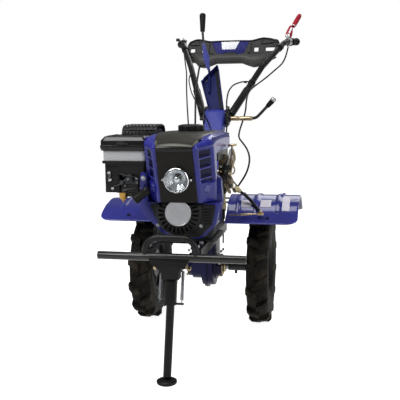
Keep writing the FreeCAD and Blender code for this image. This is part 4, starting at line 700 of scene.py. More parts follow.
def build_tyre(name, side):
    """A farm tyre: rounded carcass with side-wall rings and two rows of herringbone lugs."""
    section = [
        (-31, 104.5), (-34, 108), (-35.5, 113), (-34.5, 117), (-37.5, 126), (-39.5, 142), (-39.5, 158),
        (-38.2, 160), (-38.2, 163), (-39.5, 165), (-39, 176), (-36.5, 184), (-31, 190), (-20, 193.3),
        (-3, 194), (-2, 196.5), (2, 196.5), (3, 194), (20, 193.3), (31, 190), (36.5, 184), (39, 176),
        (39.5, 165), (38.2, 163), (38.2, 160), (39.5, 158), (39.5, 142), (37.5, 126), (34.5, 117),
        (35.5, 113), (34, 108), (31, 104.5), (24, 108), (0, 110), (-24, 108), (-31, 104.5),
    ]
    tyre = lathe(name, (side * WHEEL_X, 0, AXLE_Z), (1, 0, 0), section, 72)
    only(tyre)
    bpy.ops.object.transform_apply(location=True, rotation=True, scale=True)
    parts = [tyre]
    for hand in (-1, 1):
        pattern = build_lug(hand)
        for step in range(LUGS):
            turn = 360.0 / LUGS * (step + (0.5 if hand > 0 else 0.0))
            twin = pattern.copy()
            twin.data = pattern.data.copy()
            bpy.context.scene.collection.objects.link(twin)
            spin = Matrix.Rotation(math.radians(turn), 4, "X")
            twin.data.transform(Matrix.Translation(place(side * WHEEL_X, 0, AXLE_Z)) @ spin)
            parts.append(twin)
        bpy.data.objects.remove(pattern)
    only(tyre)
    return fitted(joined(name + "_rubber", parts), WHEELS, "tyre_rubber", name, smooth=35)


build_tyre("left_tyre", 1)
build_tyre("right_tyre", -1)
rim_bolts = []
for wheel_side in (-1, 1):
    for quarter in range(4):
        turn = math.radians(90 * quarter)
        spot = (wheel_side * 210, 37 * math.cos(turn), AXLE_Z + 37 * math.sin(turn))
        rim_bolts.append((spot, (wheel_side, 0, 0)))
bolts("wheel_bolts", WHEELS, "zinc", rim_bolts, 13, 7)


# ---- pressed shapes ----------------------------------------------------------------------


def pressing(name, outline, thick, spot, across, facing, rounding=0.6):
    """A flat pressing: its outline (across, up) in millimetres, drawn up to its thickness."""
    deselect()
    bpy.ops.mesh.primitive_circle_add(vertices=len(outline), radius=0.01)
    piece = named(name)
    mesh = edit(piece)
    mesh.verts.ensure_lookup_table()
    for point, (u, v) in zip(mesh.verts, outline):
        point.co = Vector((u * 0.001, v * 0.001, -thick * 0.001))
    bpy.ops.mesh.select_all(action="SELECT")
    bpy.ops.mesh.fill()
    bpy.ops.mesh.extrude_region_move(TRANSFORM_OT_translate={"value": (0, 0, thick * 0.001)})
    bpy.ops.mesh.select_all(action="SELECT")
    bpy.ops.mesh.normals_make_consistent(inside=False)
    leave_edit()
    across = Vector(across).normalized()
    facing = Vector(facing).normalized()
    up = facing.cross(across)
    turn = Matrix((across, up, facing)).transposed().to_4x4()
    piece.data.transform(Matrix.Translation(place(*spot)) @ turn)
    if rounding:
        softened(piece, rounding, 2, 30)
    return piece


def oblong(half_length, half_width, steps=6):
    """An outline with two straight sides and two round ends."""
    outline = []
    for side in (1, -1):
        for step in range(steps + 1):
            turn = math.pi * step / steps - math.pi / 2
            outline.append((
                side * (half_length - half_width + half_width * math.cos(turn)),
                side * half_width * math.sin(turn),
            ))
    return outline


def coil(name, start, end, radius, wire, turns, tail=8.0):
    """A tension spring between two hooks: close turns of round wire."""
    start, end = Vector(start), Vector(end)
    run = (end - start).normalized()
    side = run.cross(Vector((1, 0, 0))).normalized()
    other = run.cross(side)
    length = (end - start).length - 2 * tail
    points = [tuple(start)]
    for step in range(turns * 8 + 1):
        turn = 2 * math.pi * step / 8
        along = tail + length * step / (turns * 8)
        points.append(tuple(start + run * along + (side * math.cos(turn) + other * math.sin(turn)) * radius))
    points.append(tuple(end))
    return bar(name, points, wire, 1)


# ---- headlight ---------------------------------------------------------------------------

LAMP = (25.5, -595.0, 605.0)
LAMP_LEAN = math.radians(7)
LAMP_WAY = Vector((0, -math.cos(LAMP_LEAN), -math.sin(LAMP_LEAN)))
LAMP_UP = Vector((0, -math.sin(LAMP_LEAN), math.cos(LAMP_LEAN)))


def on_lamp(right, up, out):
    """A place on the lamp's own face."""
    spot = Vector(LAMP) + LAMP_UP * up + LAMP_WAY * out
    return (spot.x + right, spot.y, spot.z)


def build_headlight():
    """A chrome bezel round a fluted glass, with a faceted reflector and a bulb behind it."""
    bezel = lathe("bezel", on_lamp(0, 0, 0), LAMP_WAY, [
        (-22, 36.6), (3, 37.6), (7, 38.6), (10, 37.4), (11.2, 35.4), (9.6, 34.4), (4, 33.8), (-22, 33.8),
        (-22, 36.6),
    ], 64)
    fitted(bezel, CHASSIS, "chrome", "headlight", slot="lamp_chrome", smooth=50)
    bowl = lathe("bowl", on_lamp(0, 0, 0), LAMP_WAY, [
        (8, 33.9), (0, 29.0), (-8, 22.0), (-14, 14.0), (-18, 7.0), (-19, 0.0),
    ], 14)
    mesh = edit(bowl)
    pick(mesh, "faces", lambda face: len(face.verts) > 8)
    bpy.ops.mesh.delete(type="ONLY_FACE")
    leave_edit()
    only(bowl)
    wall = bowl.modifiers.new("bowl_wall", "SOLIDIFY")
    wall.thickness = 0.0012
    wall.offset = -1.0
    bpy.ops.object.modifier_apply(modifier=wall.name)
    fitted(bowl, CHASSIS, "reflector", slot="lamp_chrome", smooth=0)
    shield = lathe("shield", on_lamp(0, 0, -6), LAMP_WAY, [(-8, 5), (0, 8.5), (4, 9.0), (6, 7.0), (7, 0)], 24)
    fitted(shield, CHASSIS, "chrome", slot="lamp_chrome", smooth=50)
    glass = lathe("lens", on_lamp(0, 0, 0), LAMP_WAY, [
        (6.5, 33.3), (9.0, 32.0), (11.5, 26.0), (13.5, 16.0), (14.3, 0.0), (13.0, 0.0), (12.0, 16.0),
        (10.0, 26.0), (7.5, 31.5), (6.0, 33.3), (6.5, 33.3),
    ], 48)
    fitted(glass, CHASSIS, "lamp_glass", slot="lamp_chrome", smooth=60)
    for side in (-1, 1):
        ear = lathe("ear", on_lamp(side * 43, 0, 1), LAMP_WAY, [
            (-9, 3.8), (2.0, 3.8), (3.4, 3.0), (4.0, 1.6), (4.1, 0),
        ], 20)
        fitted(ear, CHASSIS, "bright_zinc", slot="steel", smooth=40).name = "lamp_screw"


build_headlight()

# ---- hood --------------------------------------------------------------------------------


def on_swept_face(side, share, height, out=0.0):
    """A place on the hood's swept corner face, a share of the way back and at a height."""
    nose = -557.0 - LEAN * (height - 531.0)
    run = Vector((side * 43.0, 67.0))
    away = Vector((side * 67.0, -43.0)).normalized()
    spot = Vector((HOOD_X + side * 62.0, nose)) + run * share + away * out
    return (spot.x, spot.y, height)


def smoothed(corners, spacing, passes):
    """A run of corners cut into even steps, then rounded by averaging neighbours."""
    fine = []
    for first, last in zip(corners, corners[1:]):
        first, last = Vector(first), Vector(last)
        steps = max(1, round((last - first).length / spacing))
        fine += [first.lerp(last, step / steps) for step in range(steps)]
    fine.append(Vector(corners[-1]))
    for _ in range(passes):
        fine = [fine[0], *[(a + b * 2 + c) / 4 for a, b, c in zip(fine, fine[1:], fine[2:])], fine[-1]]
    return fine


def sheet(name, columns, rows, spot, thick, side=1):
    """A pressed sheet: a grid whose points are drawn to their places, then given its wall."""
    deselect()
    bpy.ops.mesh.primitive_grid_add(x_subdivisions=columns - 1, y_subdivisions=rows - 1, size=2)
    piece = named(name)
    mesh = edit(piece)
    for point in mesh.verts:
        column = round((point.co.x + 1) / 2 * (columns - 1))
        row = round((point.co.y + 1) / 2 * (rows - 1))
        point.co = place(*spot(column, row))
    leave_edit()
    only(piece)
    wall = piece.modifiers.new("sheet_wall", "SOLIDIFY")
    wall.thickness = thick * 0.001
    wall.offset = -side
    bpy.ops.object.modifier_apply(modifier=wall.name)
    return piece


CROWN = smoothed([
    (-554.5, 531), (-622.5, 697), (-617, 711), (-598, 718), (-560, 728), (-540, 733), (-500, 739.5),
    (-450, 741), (-350, 741), (-260, 738), (-237, 736),
], 4.0, 10)


def cover_half(y, z):
    """Half the black cover's width: narrow at the nose, widening evenly toward the tank."""
    if z < 712:
        return 59.0
    share = min(1.0, max(0.0, (y + 606) / 190))
    return 59.0 + 29.0 * math.sin(math.pi / 2 * share)


def build_cover():
    """The black cover: up the nose, over a soft lip and back across the tank in one skin."""
    columns = 41

    def spot(column, row):
        here = CROWN[row]
        ahead = CROWN[min(row + 1, len(CROWN) - 1)] - CROWN[max(row - 1, 0)]
        inward = Vector((ahead.y, -ahead.x)).normalized()
        share = -1 + 2 * column / (columns - 1)
        half = cover_half(here.x, here.y)
        share = math.copysign(1 - (1 - abs(share)) ** 1.5, share)
        ahead_share = min(1.0, max(0.0, (-560 - here.x) / 40))
        drop = (3.4 + 3.2 * ahead_share) * share * share + 2.4 * max(0.0, (abs(share) - 0.90) / 0.10) ** 2
        drop_spot = here + inward * drop
        return (HOOD_X + share * half, drop_spot.x, drop_spot.y)

    cover = sheet("nose_and_tank_cover", columns, len(CROWN), spot, 2.0)
    fitted(cover, CHASSIS, "cover_black", "hood_front", slot="black_plastic", smooth=60)
    cover.data.materials.append(FINISH["cover_lip"])
    cover.data.materials.append(FINISH["cover_top"])
    for face in cover.data.polygons:
        rise = abs(face.normal.z)
        # Upward faces on top take the paler top moulding.
        if face.center.z > 0.69 and rise > 0.88:
            face.material_index = 2
        # Faces round the front of the lip take the painted highlight.
        elif face.center.z > 0.69 and face.normal.y < -0.3 and face.center.y < place(0, -575, 0).y:
            face.material_index = 1
    return cover


PLAN = smoothed([(55, 10), (61, 0), (105, 66), (105, 100), (105, 316)], 2.2, 22)


def corner_top(y):
    """The blue skin's top edge, a little under the black cover beside it."""
    for first, last in zip(CROWN, CROWN[1:]):
        if last.y > 700 and y <= last.x:
            return min(first.y, last.y) - 8.0
    return CROWN[-1].y - 8.0


def on_recess(side, along, height, out):
    """A place in front of a duct's floor: along the swept face, at a height."""
    share = (along - 14.0) / 79.6
    return on_swept_face(side, share, height, out)


def build_corner(side, label):
    """A blue hood corner that runs on as the side strip: rounded over, with a recess for its ducts."""
    rows = 82
    sunk = []
    lengths = [0.0]
    for first, last in zip(PLAN, PLAN[1:]):
        lengths.append(lengths[-1] + (last - first).length)

    def spot(column, row):
        here = PLAN[column]
        ahead = PLAN[min(column + 1, len(PLAN) - 1)] - PLAN[max(column - 1, 0)]
        out = Vector((ahead.y, -ahead.x)).normalized()
        dy = here.y
        lean_share = 1.0 if dy < 70 else max(0.0, 1 - (dy - 70) / 70)
        low = 532.0
        if dy > 74:
            low = 532.0 + 146.0 * min(1.0, (dy - 74) / 20) ** 0.8
        rear_y = -553 + dy - 69.0 * lean_share
        top = corner_top(rear_y)
        bend = 9.0 + 8.0 * min(1.0, max(0.0, (dy - 10) / 60))
        face_rows, arc_rows = 64, 12
        along = lengths[column]
        if row < face_rows:
            height = low + (top - bend - low) * row / face_rows
            across_in = min(along - 21, 87 - along)
            up_in = min(height - 592, top - bend - 2 - height)
            inset = 9.0 * min(1.0, max(0.0, across_in / 4)) * min(1.0, max(0.0, up_in / 4))
        elif row < face_rows + arc_rows:
            turn = math.pi / 2 * (row - face_rows) / (arc_rows - 1)
            height = top - bend + bend * math.sin(turn)
            inset = bend * (1 - math.cos(turn))
        else:
            height = top - 0.15 * (row - face_rows - arc_rows + 1)
            inset = bend + 4.5 * (row - face_rows - arc_rows + 1)
        y = -553.5 + dy - LEAN * (height - 531) * lean_share
        sunk.append(row < face_rows and inset > 8.5)
        return (HOOD_X + side * (here.x - out.x * inset), y - out.y * inset, height)

    skin = sheet(label + "_skin", len(PLAN), rows, spot, 2.0, -side)
    fitted(skin, CHASSIS, "hood_blue", label, slot="blue_paint", smooth=50)
    # The sunk faces of the duct recess take a dark blue, painted shade.
    skin.data.materials.append(FINISH["deep_blue"])
    for face in skin.data.polygons:
        if all(sunk[index % len(sunk)] for index in face.vertices):
            face.material_index = 1
    return skin


def build_hood():
    """The black cover, the two blue corners with their slats and blisters, and their floors."""
    build_cover()
    tank = eased("fuel_tank", 0.0, "tank_black")
    for point in tank.data.vertices:
        if point.co.z > 0.69:
            point.co.z -= 0.007
    for side, label in ((1, "hood_left"), (-1, "hood_right")):
        build_corner(side, label)
        slats = []
        for height in (606.0, 637.0, 668.0):
            slats.append(bar("slat", [
                on_recess(side, 23, height - 3, -7), on_recess(side, 27, height - 2, -2.0),
                on_recess(side, 38, height, -0.6), on_recess(side, 70, height + 4, -0.6),
                on_recess(side, 82, height + 6, -2.0), on_recess(side, 86, height + 6, -7),
            ], 2.6, 2))
        # The slats' paler blue is a painted highlight.
        fitted(joined("duct_slats_" + label, slats), CHASSIS, "blue_gloss", slot="blue_paint", smooth=60)
        facing = Vector((side * 67.0, -43.0, -20.0)).normalized()
        blister = lathe("blister", on_recess(side, 56, 574, -0.5), facing, [
            (0, 14), (1.6, 13.2), (3.0, 11.0), (3.2, 9.4), (2.2, 7.4), (0.8, 6.4), (0.6, 4.0),
            (1.8, 2.4), (2.2, 0),
        ], 32)
        # The blister's paler blue is a painted highlight.
        fitted(blister, CHASSIS, "blue_gloss", slot="blue_paint", smooth=60).name = "blister_" + label


build_hood()

# ---- starter -----------------------------------------------------------------------------


def build_starter():
    """The brushed badge on the starter's dome, a black sheet behind its slots as painted shade, and the
    screws and lug round its shroud.
    """
    x, z = CRANK
    badge = lathe("badge_disc", (x, -546.0, z), (0, -1, 0), [
        (0, 39.0), (0.6, 40.0), (2.2, 40.3), (2.9, 39.6), (2.9, 38.4), (2.4, 37.6), (2.4, 0),
    ], 72)
    fitted(badge, CHASSIS, "badge", "recoil_badge", slot="silver_plastic", smooth=30)
    # A black sheet behind the starter's slots, painted as the shade inside them.
    slot_shade_sheet = slab("slot_shade_sheet", x - 62, x + 106, -521.9, -520.9, z - 62, z + 26)
    softened(slot_shade_sheet, 0.3, 1)
    louvre_shade_sheet = slab("louvre_shade_sheet", 92, 118, -524.6, -522.6, 459, 508)
    softened(louvre_shade_sheet, 0.3, 1)
    fitted(joined("starter_slot_painted_shade", [slot_shade_sheet, louvre_shade_sheet]), CHASSIS, "heat_black")
    screws = []
    for angle in (38, 142, 218, 322):
        turn = math.radians(angle)
        screws.append(((x + 86 * math.cos(turn), -530.5, z + 66 * math.sin(turn)), (0, -1, 0)))
    bolts("starter_screws", CHASSIS, "steel", screws, 8, 4)
    bolts("shroud_bolt", CHASSIS, "bright_zinc", [((-94.5, -530.5, 602), (0, -1, 0))], 10, 6, slot="steel")


def build_pull_grip():
    """The waisted moulded pull grip of the starter rope, in its guide."""
    way = Vector((-math.cos(math.radians(37)), 0, -math.sin(math.radians(37))))
    grip = lathe("pull_grip", (-93, -556, 554), way, [
        (-29, 0), (-28.5, 8), (-26, 12.6), (-20, 14.6), (-12, 13.2), (0, 12.0), (12, 13.2), (20, 15.2),
        (26, 14.2), (28.5, 9), (29, 0),
    ], 28)
    neck = lathe(
        "neck", (-93, -556, 554), (0.1, 1, 0.05), [(0, 8.5), (14, 7.5), (20, 9.5), (34, 9.5), (34, 0)], 24,
    )
    piece = joined("starter_pull_grip", [grip, neck])
    fitted(piece, CHASSIS, "cover_black", "recoil_handle", slot="black_plastic", smooth=50)


build_starter()
build_pull_grip()

# ---- air cleaner, carburettor and silencer -----------------------------------------------


def build_intake_side():
    """The small parts beside the cylinder: choke, fuel cock, linkage and hose stubs."""
    parts = []
    for level in (560, 572, 584, 596, 608, 620, 632):
        parts.append(slab("rib", -224, -180, -510.5, -508, level, level + 3.2))
    for rib in parts:
        softened(rib, 1.2, 1)
    fitted(joined("cleaner_box_ribs", parts), CHASSIS, "black_plastic")
    lid_ribs = []
    for x in (-214, -196, -130, -112):
        lid_ribs.append(slab("rib", x - 5, x + 5, -500, -402, 727.0, 730.0))
    for rib in lid_ribs:
        softened(rib, 1.3, 2)
    fitted(joined("cleaner_lid_ribs", lid_ribs), CHASSIS, "gloss_plastic", slot="black_plastic")
    clip = front_plate([(-20, -6), (20, -6), (15, 6), (-15, 6)], 3.0, (-163, -519.5, 709), 1.0)
    fitted(clip, CHASSIS, "gloss_plastic", slot="black_plastic").name = "cleaner_lid_catch"
    rounded_block("cylinder_baffle", (-178, -90, -452, -440, 532, 650), 1.5, 2, "heat_black")
    rounded_block("intake_elbow", (-176, -92, -498, -446, 596, 650), 6, 3, "black_plastic")
    rounded_block("inlet_insulator", (-150, -100, -470, -410, 560, 612), 4, 2, "heat_black")
    cock = joined("fuel_cock", [
        pressing("cock_a", oblong(24, 7), 5, (-158, -502, 586), (1, 0, 0.12), (0, -1, 0), 1.2),
        lathe("cock_b", (-172, -500, 584), (0, -1, 0), [(-6, 9), (4, 9), (7, 7.5), (8, 0)], 24),
        lathe("cock_c", (-142, -496, 600), (0, -1, 0), [(-6, 6), (9, 6), (11, 4.5), (11.5, 0)], 20),
    ])
    fitted(cock, CHASSIS, "dark_casting", slot="cast_aluminium")
    lever = pressing("choke", oblong(14, 4), 3, (-209, -512.5, 604), (0.1, 0, 1), (0, -1, 0), 0.8)
    fitted(lever, CHASSIS, "dark_steel", slot="steel").name = "choke_lever"
    knobs = [
        pressing("knob", oblong(5, 3.6), 5, (-210, -514.5, 615), (1, 0, 0.1), (0, -1, 0), 1.0),
        pressing("knob", oblong(5, 3.6), 5, (-207, -514.5, 592), (1, 0, 0.2), (0, -1, 0), 1.0),
    ]
    fitted(joined("choke_knobs", knobs), CHASSIS, "silver_plastic")
    rods("throttle_linkage", CHASSIS, "dark_steel", [
        (1.2, [(-196, -512, 573), (-182, -512, 575), (-166, -506, 588), (-150, -503, 604)]),
        (1.1, [(-176, -508, 612), (-160, -508, 606), (-138, -506, 606), (-118, -500, 598)]),
        (1.1, [(-168, -506, 560), (-150, -506, 566), (-128, -500, 566)]),
    ], "steel", 30)
    screw = [((-199, -510, 566), FRONT)]
    bolts("cleaner_box_screw", CHASSIS, "bright_zinc", screw, 9, 4, False, slot="steel")
    glints = [
        pressing("glint", oblong(5, 2.2), 3, (-150, -508, 596), (1, 0, 0.9), (0, -1, 0), 0.8),
        pressing("glint", oblong(5, 2.2), 3, (-124, -505, 598), (1, 0, -0.6), (0, -1, 0), 0.8),
    ]
    fitted(joined("carburettor_clips", glints), CHASSIS, "steel")
    bolts("carburettor_screws", CHASSIS, "dark_steel", [
        ((-160, -506, 574), (0, -1, 0)), ((-122, -502, 584), (0, -1, 0)), ((-112, -500, 566), (0, -1, 0)),
    ], 7, 4, False, slot="steel")
    bowl = lathe("bowl", (-174, -482, 567), (0, 0, -1), [
        (0, 0), (0, 15), (6, 16.5), (10, 16), (11, 14.5), (30, 13.5), (37, 11), (40, 6), (41, 3.5),
        (47, 3.5), (47, 0),
    ], 28)
    fitted(bowl, CHASSIS, "brass", "float_bowl", smooth=40).name = "carburettor_bowl"
    rounded_block("carburettor_foot", (-194, -118, -500, -448, 550, 580), 5, 3, "heat_black")
    hose = bar("fuel_hose", [
        (-160, -496, 556), (-150, -498, 548), (-128, -500, 548), (-106, -488, 560), (-96, -470, 590),
        (-92, -450, 640),
    ], 4.5)
    fitted(hose, CHASSIS, "cable_black", smooth=60)


build_intake_side()


def build_guard_grid():
    """Raised bars over the silencer guard, between its slots."""
    bars = []
    for step in range(9):
        x = -195.5 + step * 11.6
        bars.append(bar("bar", [
            (x, -381.5, 706), (x, -381, 735), (x, -374, 752), (x, -350, 757.5), (x, -280, 757.5),
            (x, -257, 752), (x, -250.5, 735), (x, -250, 716),
        ], 2.0, 1))
    for y, z in ((-378, 744), (-346, 757), (-314, 757), (-283, 757)):
        bars.append(bar("bar", [(-205, y, z), (-150, y, z), (-93, y, z)], 2.2, 1, False))
    fitted(joined("silencer_guard_bars", bars), CHASSIS, "heat_gloss", slot="heat_black", smooth=60)


build_guard_grid()

# ---- engine's left side ------------------------------------------------------------------


def build_governor_side():
    """The governor arm with its springs and link, the coil, the lead and the fuel hose."""
    rods("governor_arm", CHASSIS, "beige_zinc", [
        (3.4, [(140, -302, 575), (143, -303, 620), (147, -303, 690)]),
        (2.6, [(132, -302, 604), (146, -306, 612), (156, -310, 634), (158, -308, 660), (150, -304, 676)]),
    ], "zinc")
    spring = coil("governor_spring", (146, -306, 682), (126, -334, 596), 4.2, 1.1, 20, 9)
    fitted(spring, CHASSIS, "steel", smooth=60)
    rods("governor_loops", CHASSIS, "beige_zinc", [
        (2.6, [
            (147, -303, 664), (156, -303, 656), (158, -303, 640), (150, -303, 634), (142, -303, 642),
            (143, -303, 656), (147, -303, 664),
        ]),
        (2.6, [
            (146, -303, 626), (155, -304, 616), (156, -305, 600), (147, -305, 592), (138, -304, 600),
            (139, -303, 618), (146, -303, 626),
        ]),
    ], "zinc")
    rounded_block("ignition_coil", (116, 138, -334, -292, 584, 626), 3, 2, "heat_black")
    rods("engine_leads", CHASSIS, "cable_black", [
        (2.0, [
            (128, -320, 584), (134, -322, 560), (126, -316, 536), (108, -300, 520), (100, -270, 512),
            (98, -200, 506), (95, -156, 500),
        ]),
        (2.0, [(122, -300, 590), (130, -280, 566), (124, -240, 540), (112, -200, 520), (98, -156, 506)]),
        (2.2, [(118, -334, 604), (128, -360, 580), (122, -400, 540), (116, -440, 480), (108, -450, 440)]),
        (2.2, [(94, -152, 453), (95, -150, 440), (98, -152, 424), (92, -160, 408), (80, -170, 398)]),
    ])
    rounded_block("connector_collar", (85, 103, -161, -143, 470, 480), 2, 2, "cream_plastic")
    plates = [
        front_plate([
            (-16, -62), (4, -70), (20, -34), (10, 4), (16, 40), (4, 58), (-12, 40), (-18, -8),
        ], 3.0, (126, -312, 602), 0.8),
        front_plate([(-8, -24), (8, -28), (14, 0), (6, 30), (-6, 28), (-3, 0)], 3.0, (140, -318, 572), 0.8,
                    (1, 0, 0.2)),
        front_plate([(-20, -7), (16, -5), (22, 2), (14, 7), (-20, 6)], 3.0, (134, -322, 548), 0.8,
                    (0.5, 0, -1)),
        front_plate([(-14, -26), (4, -6), (16, 26), (-14, 20)], 2.0, (117, -309, 636), 0.6),
    ]
    fitted(joined("control_plates", plates), CHASSIS, "dusty_steel", slot="zinc")
    rods("control_rods", CHASSIS, "heat_black", [
        (3.2, [(104, -316, 590), (116, -320, 570), (138, -318, 556), (156, -300, 540)]),
        (2.6, [(108, -322, 634), (122, -324, 616), (126, -324, 590), (118, -322, 560), (124, -310, 528)]),
        (2.4, [(112, -314, 600), (134, -320, 592), (150, -316, 574), (162, -290, 552)]),
        (2.2, [(128, -318, 642), (140, -318, 622), (146, -314, 600)]),
    ])
    rounded_block("coil_cover", (98, 126, -304, -200, 536, 604), 8, 3, "heat_black")
    bolts("control_bolts", CHASSIS, "dark_steel", [
        ((124, -314, 628), (0, -1, 0)), ((132, -314, 584), (0, -1, 0)), ((144, -321, 556), (0, -1, 0)),
    ], 9, 4, slot="steel")
    bolts("shroud_bolts", CHASSIS, "bright_zinc", [
        ((112.4, -330, 622), (1, 0, 0)), ((112.4, -280, 622), (1, 0, 0)), ((140, -262.5, 639), (0, 0, 1)),
    ], 9, 5, slot="steel")


build_governor_side()

# ---- fenders, bed and gear case ----------------------------------------------------------


def build_chassis_fixings():
    """Bolts and nuts on the bed, the gear case, the stand bracket and the handle column."""
    bolts("bed_bolts", CHASSIS, "bright_zinc", [
        ((side * 76, y, 392.5), (0, 0, 1)) for side in (-1, 1) for y in (-540, -480)
    ], 11, 6, slot="steel")
    bolts("gear_case_bolts", CHASSIS, "zinc", [
        ((side * 59.5, 62 * math.cos(math.radians(turn)), AXLE_Z + 62 * math.sin(math.radians(turn))),
        (side, 0, 0))
        for side in (-1, 1) for turn in (20, 65, 110, 160, 205, 335)
    ], 9, 5)
    bolts("bracket_bolts", CHASSIS, "zinc", [
        ((-49, -562, 331), (-1, 0, 0)), ((49, -562, 331), (1, 0, 0)),
    ], 13, 7)
    bolts("column_bolts", CHASSIS, "bright_zinc", [
        ((side * 22, 62.5 + 0.64 * (z - 568) + 2.0, z), (0, -1, 0.64)) for side in (-1, 1) for z in (588,)
    ], 10, 5, slot="steel")


build_chassis_fixings()


def build_stand_springs():
    """Two tension springs hooked between the pivot pin and the cross pin."""
    pieces = []
    for side in (-1, 1):
        pieces.append(coil("spring", (side * 34, -556, 331), (side * 34, -588, 229), 4.6, 1.35, 26, 9))
    fitted(joined("stand_coil_springs", pieces), STAND, "steel", smooth=60)
    pins = [
        bar("pin", [(-40, -588.5, 227), (40, -588.5, 227)], 3.4, 3, False),
        bar("pin", [(-40, -556, 331), (40, -556, 331)], 4.4, 3, False),
    ]
    fitted(joined("stand_spring_pins", pins), STAND, "black_paint", "stand_springs", smooth=50)


build_stand_springs()


def build_gussets():
    """Folded gusset plates that spread the stand's load into the crossbar."""
    plates = [
        front_plate([
            (-66, 46), (60, 46), (52, 30), (30, 12), (20, -14), (-20, -14), (-34, 14), (-60, 32),
        ], 3.0, (0, -597, 318), 0.8),
        front_plate([(-58, 0), (52, 0), (52, 9), (-58, 9)], 5.0, (0, -600, 352), 1.4),
    ]
    fitted(joined("stand_gussets", plates), CHASSIS, "leg_black", slot="black_paint")


build_gussets()

# ---- handlebar ---------------------------------------------------------------------------

TUBE = [Vector((57, 262, 774)), Vector((158, 520, 978)), Vector((240, 742, 1100)), Vector((285, 890, 1112))]
GRIP_RUN = (TUBE[3] - TUBE[2]).normalized()


def mirrored(spot, side):
    """The same place on one side of the machine or the other."""
    return (side * spot[0], spot[1], spot[2])


def build_grips():
    """Rubber grips with finger rings and a thick collar."""
    for side, label in ((1, "left_grip"), (-1, "right_grip")):
        way = mirrored(GRIP_RUN, side)
        profile = [(-92, 15), (-92, 20), (-88, 20), (-86.5, 16.2)]
        for ring in range(10):
            start = -82 + ring * 7
            profile += [(start, 15.6), (start + 1, 17.0), (start + 4, 17.0), (start + 5, 15.6)]
        profile += [(-10, 16.4), (-4, 17.8), (-1, 16.4), (0, 12), (0, 0)]
        grip = lathe(label, mirrored(TUBE[3] + GRIP_RUN * 6, side), way, profile, 36)
        fitted(grip, HANDLEBAR, "grip_rubber", "handle_grips", smooth=40)


def build_clutch_lever():
    """The red two-part lever by the left grip, on its cast clamp, with a bright link."""
    clamp = lathe("clamp", TUBE[3] - GRIP_RUN * 122, GRIP_RUN, [
        (0, 13), (0, 16), (2, 17.5), (13, 18.0), (27, 17.5), (29, 16), (29, 13),
    ], 36)
    boss = slab("boss", 244, 262, 770, 796, 1112, 1132)
    softened(boss, 3, 2)
    fitted(joined("clutch_clamp", [clamp, boss]), HANDLEBAR, "satin_alloy", slot="steel", smooth=35)
    reach = Vector((304, 872, 1239)) - Vector((274, 812, 1176))
    lower = pressing("lower", [
        (-17, -2), (-6, -6), (8, -4), (13, 10), (13, 30), (9, 52), (5, 62), (-8, 60), (-13, 40), (-18, 18),
    ], 15, (256, 792, 1130), (1, 0.08, -0.2), (0.1, -0.82, 0.42), 4.0)
    upper = lathe("upper", (274, 812, 1176), reach, [
        (-2, 6), (4, 9.0), (10, 10.8), (40, 11.4), (76, 11.0), (84, 9.2), (89, 5.0), (90.5, 0),
    ], 24)
    fitted(joined("clutch_lever_arm", [lower, upper]), HANDLEBAR, "red_plastic", "clutch_lever", smooth=40)
    plate = pressing(
        "window", oblong(17, 4.4), 2, (263, 783.5, 1157), (0.36, 0.45, 1), (0.1, -0.82, 0.42), 0.6,
    )
    fitted(plate, HANDLEBAR, "white_plate", slot="silver_plastic").name = "clutch_lever_window"
    collar = lathe(
        "collar", Vector((274, 812, 1176)) + reach.normalized() * 2, reach,
        [(0, 6), (0, 9.6), (3.5, 9.6), (3.5, 6)], 24,
    )
    fitted(collar, HANDLEBAR, "white_plate", slot="silver_plastic", smooth=40).name = "clutch_lever_collar"
    pivot = [((252, 782, 1133), (0.1, -0.9, 0.4))]
    bolts("clutch_pivot", HANDLEBAR, "bright_zinc", pivot, 11, 6, slot="steel")
    adjuster = lathe("adjuster", (253, 778, 1076), (0.05, 0.15, 1), [
        (0, 0), (0, 5), (10, 5), (10, 7), (18, 7), (18, 4.2), (40, 4.2), (40, 0),
    ], 16)
    fitted(adjuster, HANDLEBAR, "bright_zinc", slot="steel", smooth=40).name = "clutch_adjuster"


def build_throttle():
    """The thumb throttle: a black drum with a silver lever and its friction nut."""
    way = mirrored(GRIP_RUN, -1)
    clamp = lathe("clamp", mirrored(TUBE[3] - GRIP_RUN * 122, -1), way, [
        (0, 13), (0, 16), (2, 17.5), (27, 17.5), (29, 16), (29, 13),
    ], 36)
    drum = lathe("drum", (-252, 786, 1111), (0, 0, 1), [
        (-12, 0), (-12, 14), (0, 17), (10, 17), (13, 14), (14, 8), (14, 0),
    ], 36)
    fitted(joined("throttle_drum", [clamp, drum]), HANDLEBAR, "black_plastic", "throttle_lever", smooth=35)
    lever = pressing("lever", [
        (-10, -8), (0, -11), (12, -9), (26, -5), (40, -5), (46, 0), (40, 5.5), (26, 5), (12, 8), (0, 10),
        (-9, 7),
    ], 8.0, (-242, 786, 1124), (-50, -30, 2), (0.05, 0, 1), 2.0)
    fitted(lever, HANDLEBAR, "satin_alloy", slot="steel").name = "throttle_arm"
    grip = lathe("tip", (-273, 767, 1124), (0, 0, 1), [(-7, 0), (-7, 7), (-5, 9), (5, 9), (7, 7), (7, 0)], 20)
    fitted(grip, HANDLEBAR, "black_plastic", smooth=35).name = "throttle_tip"
    bolts("throttle_nut", HANDLEBAR, "bright_zinc", [((-246, 786, 1128), (0, 0, 1))], 12, 4, slot="steel")
    tail = bar("wire_tail", [(-150, 430, 918), (-152, 440, 934), (-149, 456, 948), (-143, 474, 952)], 2.5)
    fitted(tail, HANDLEBAR, "cable_black", smooth=60)


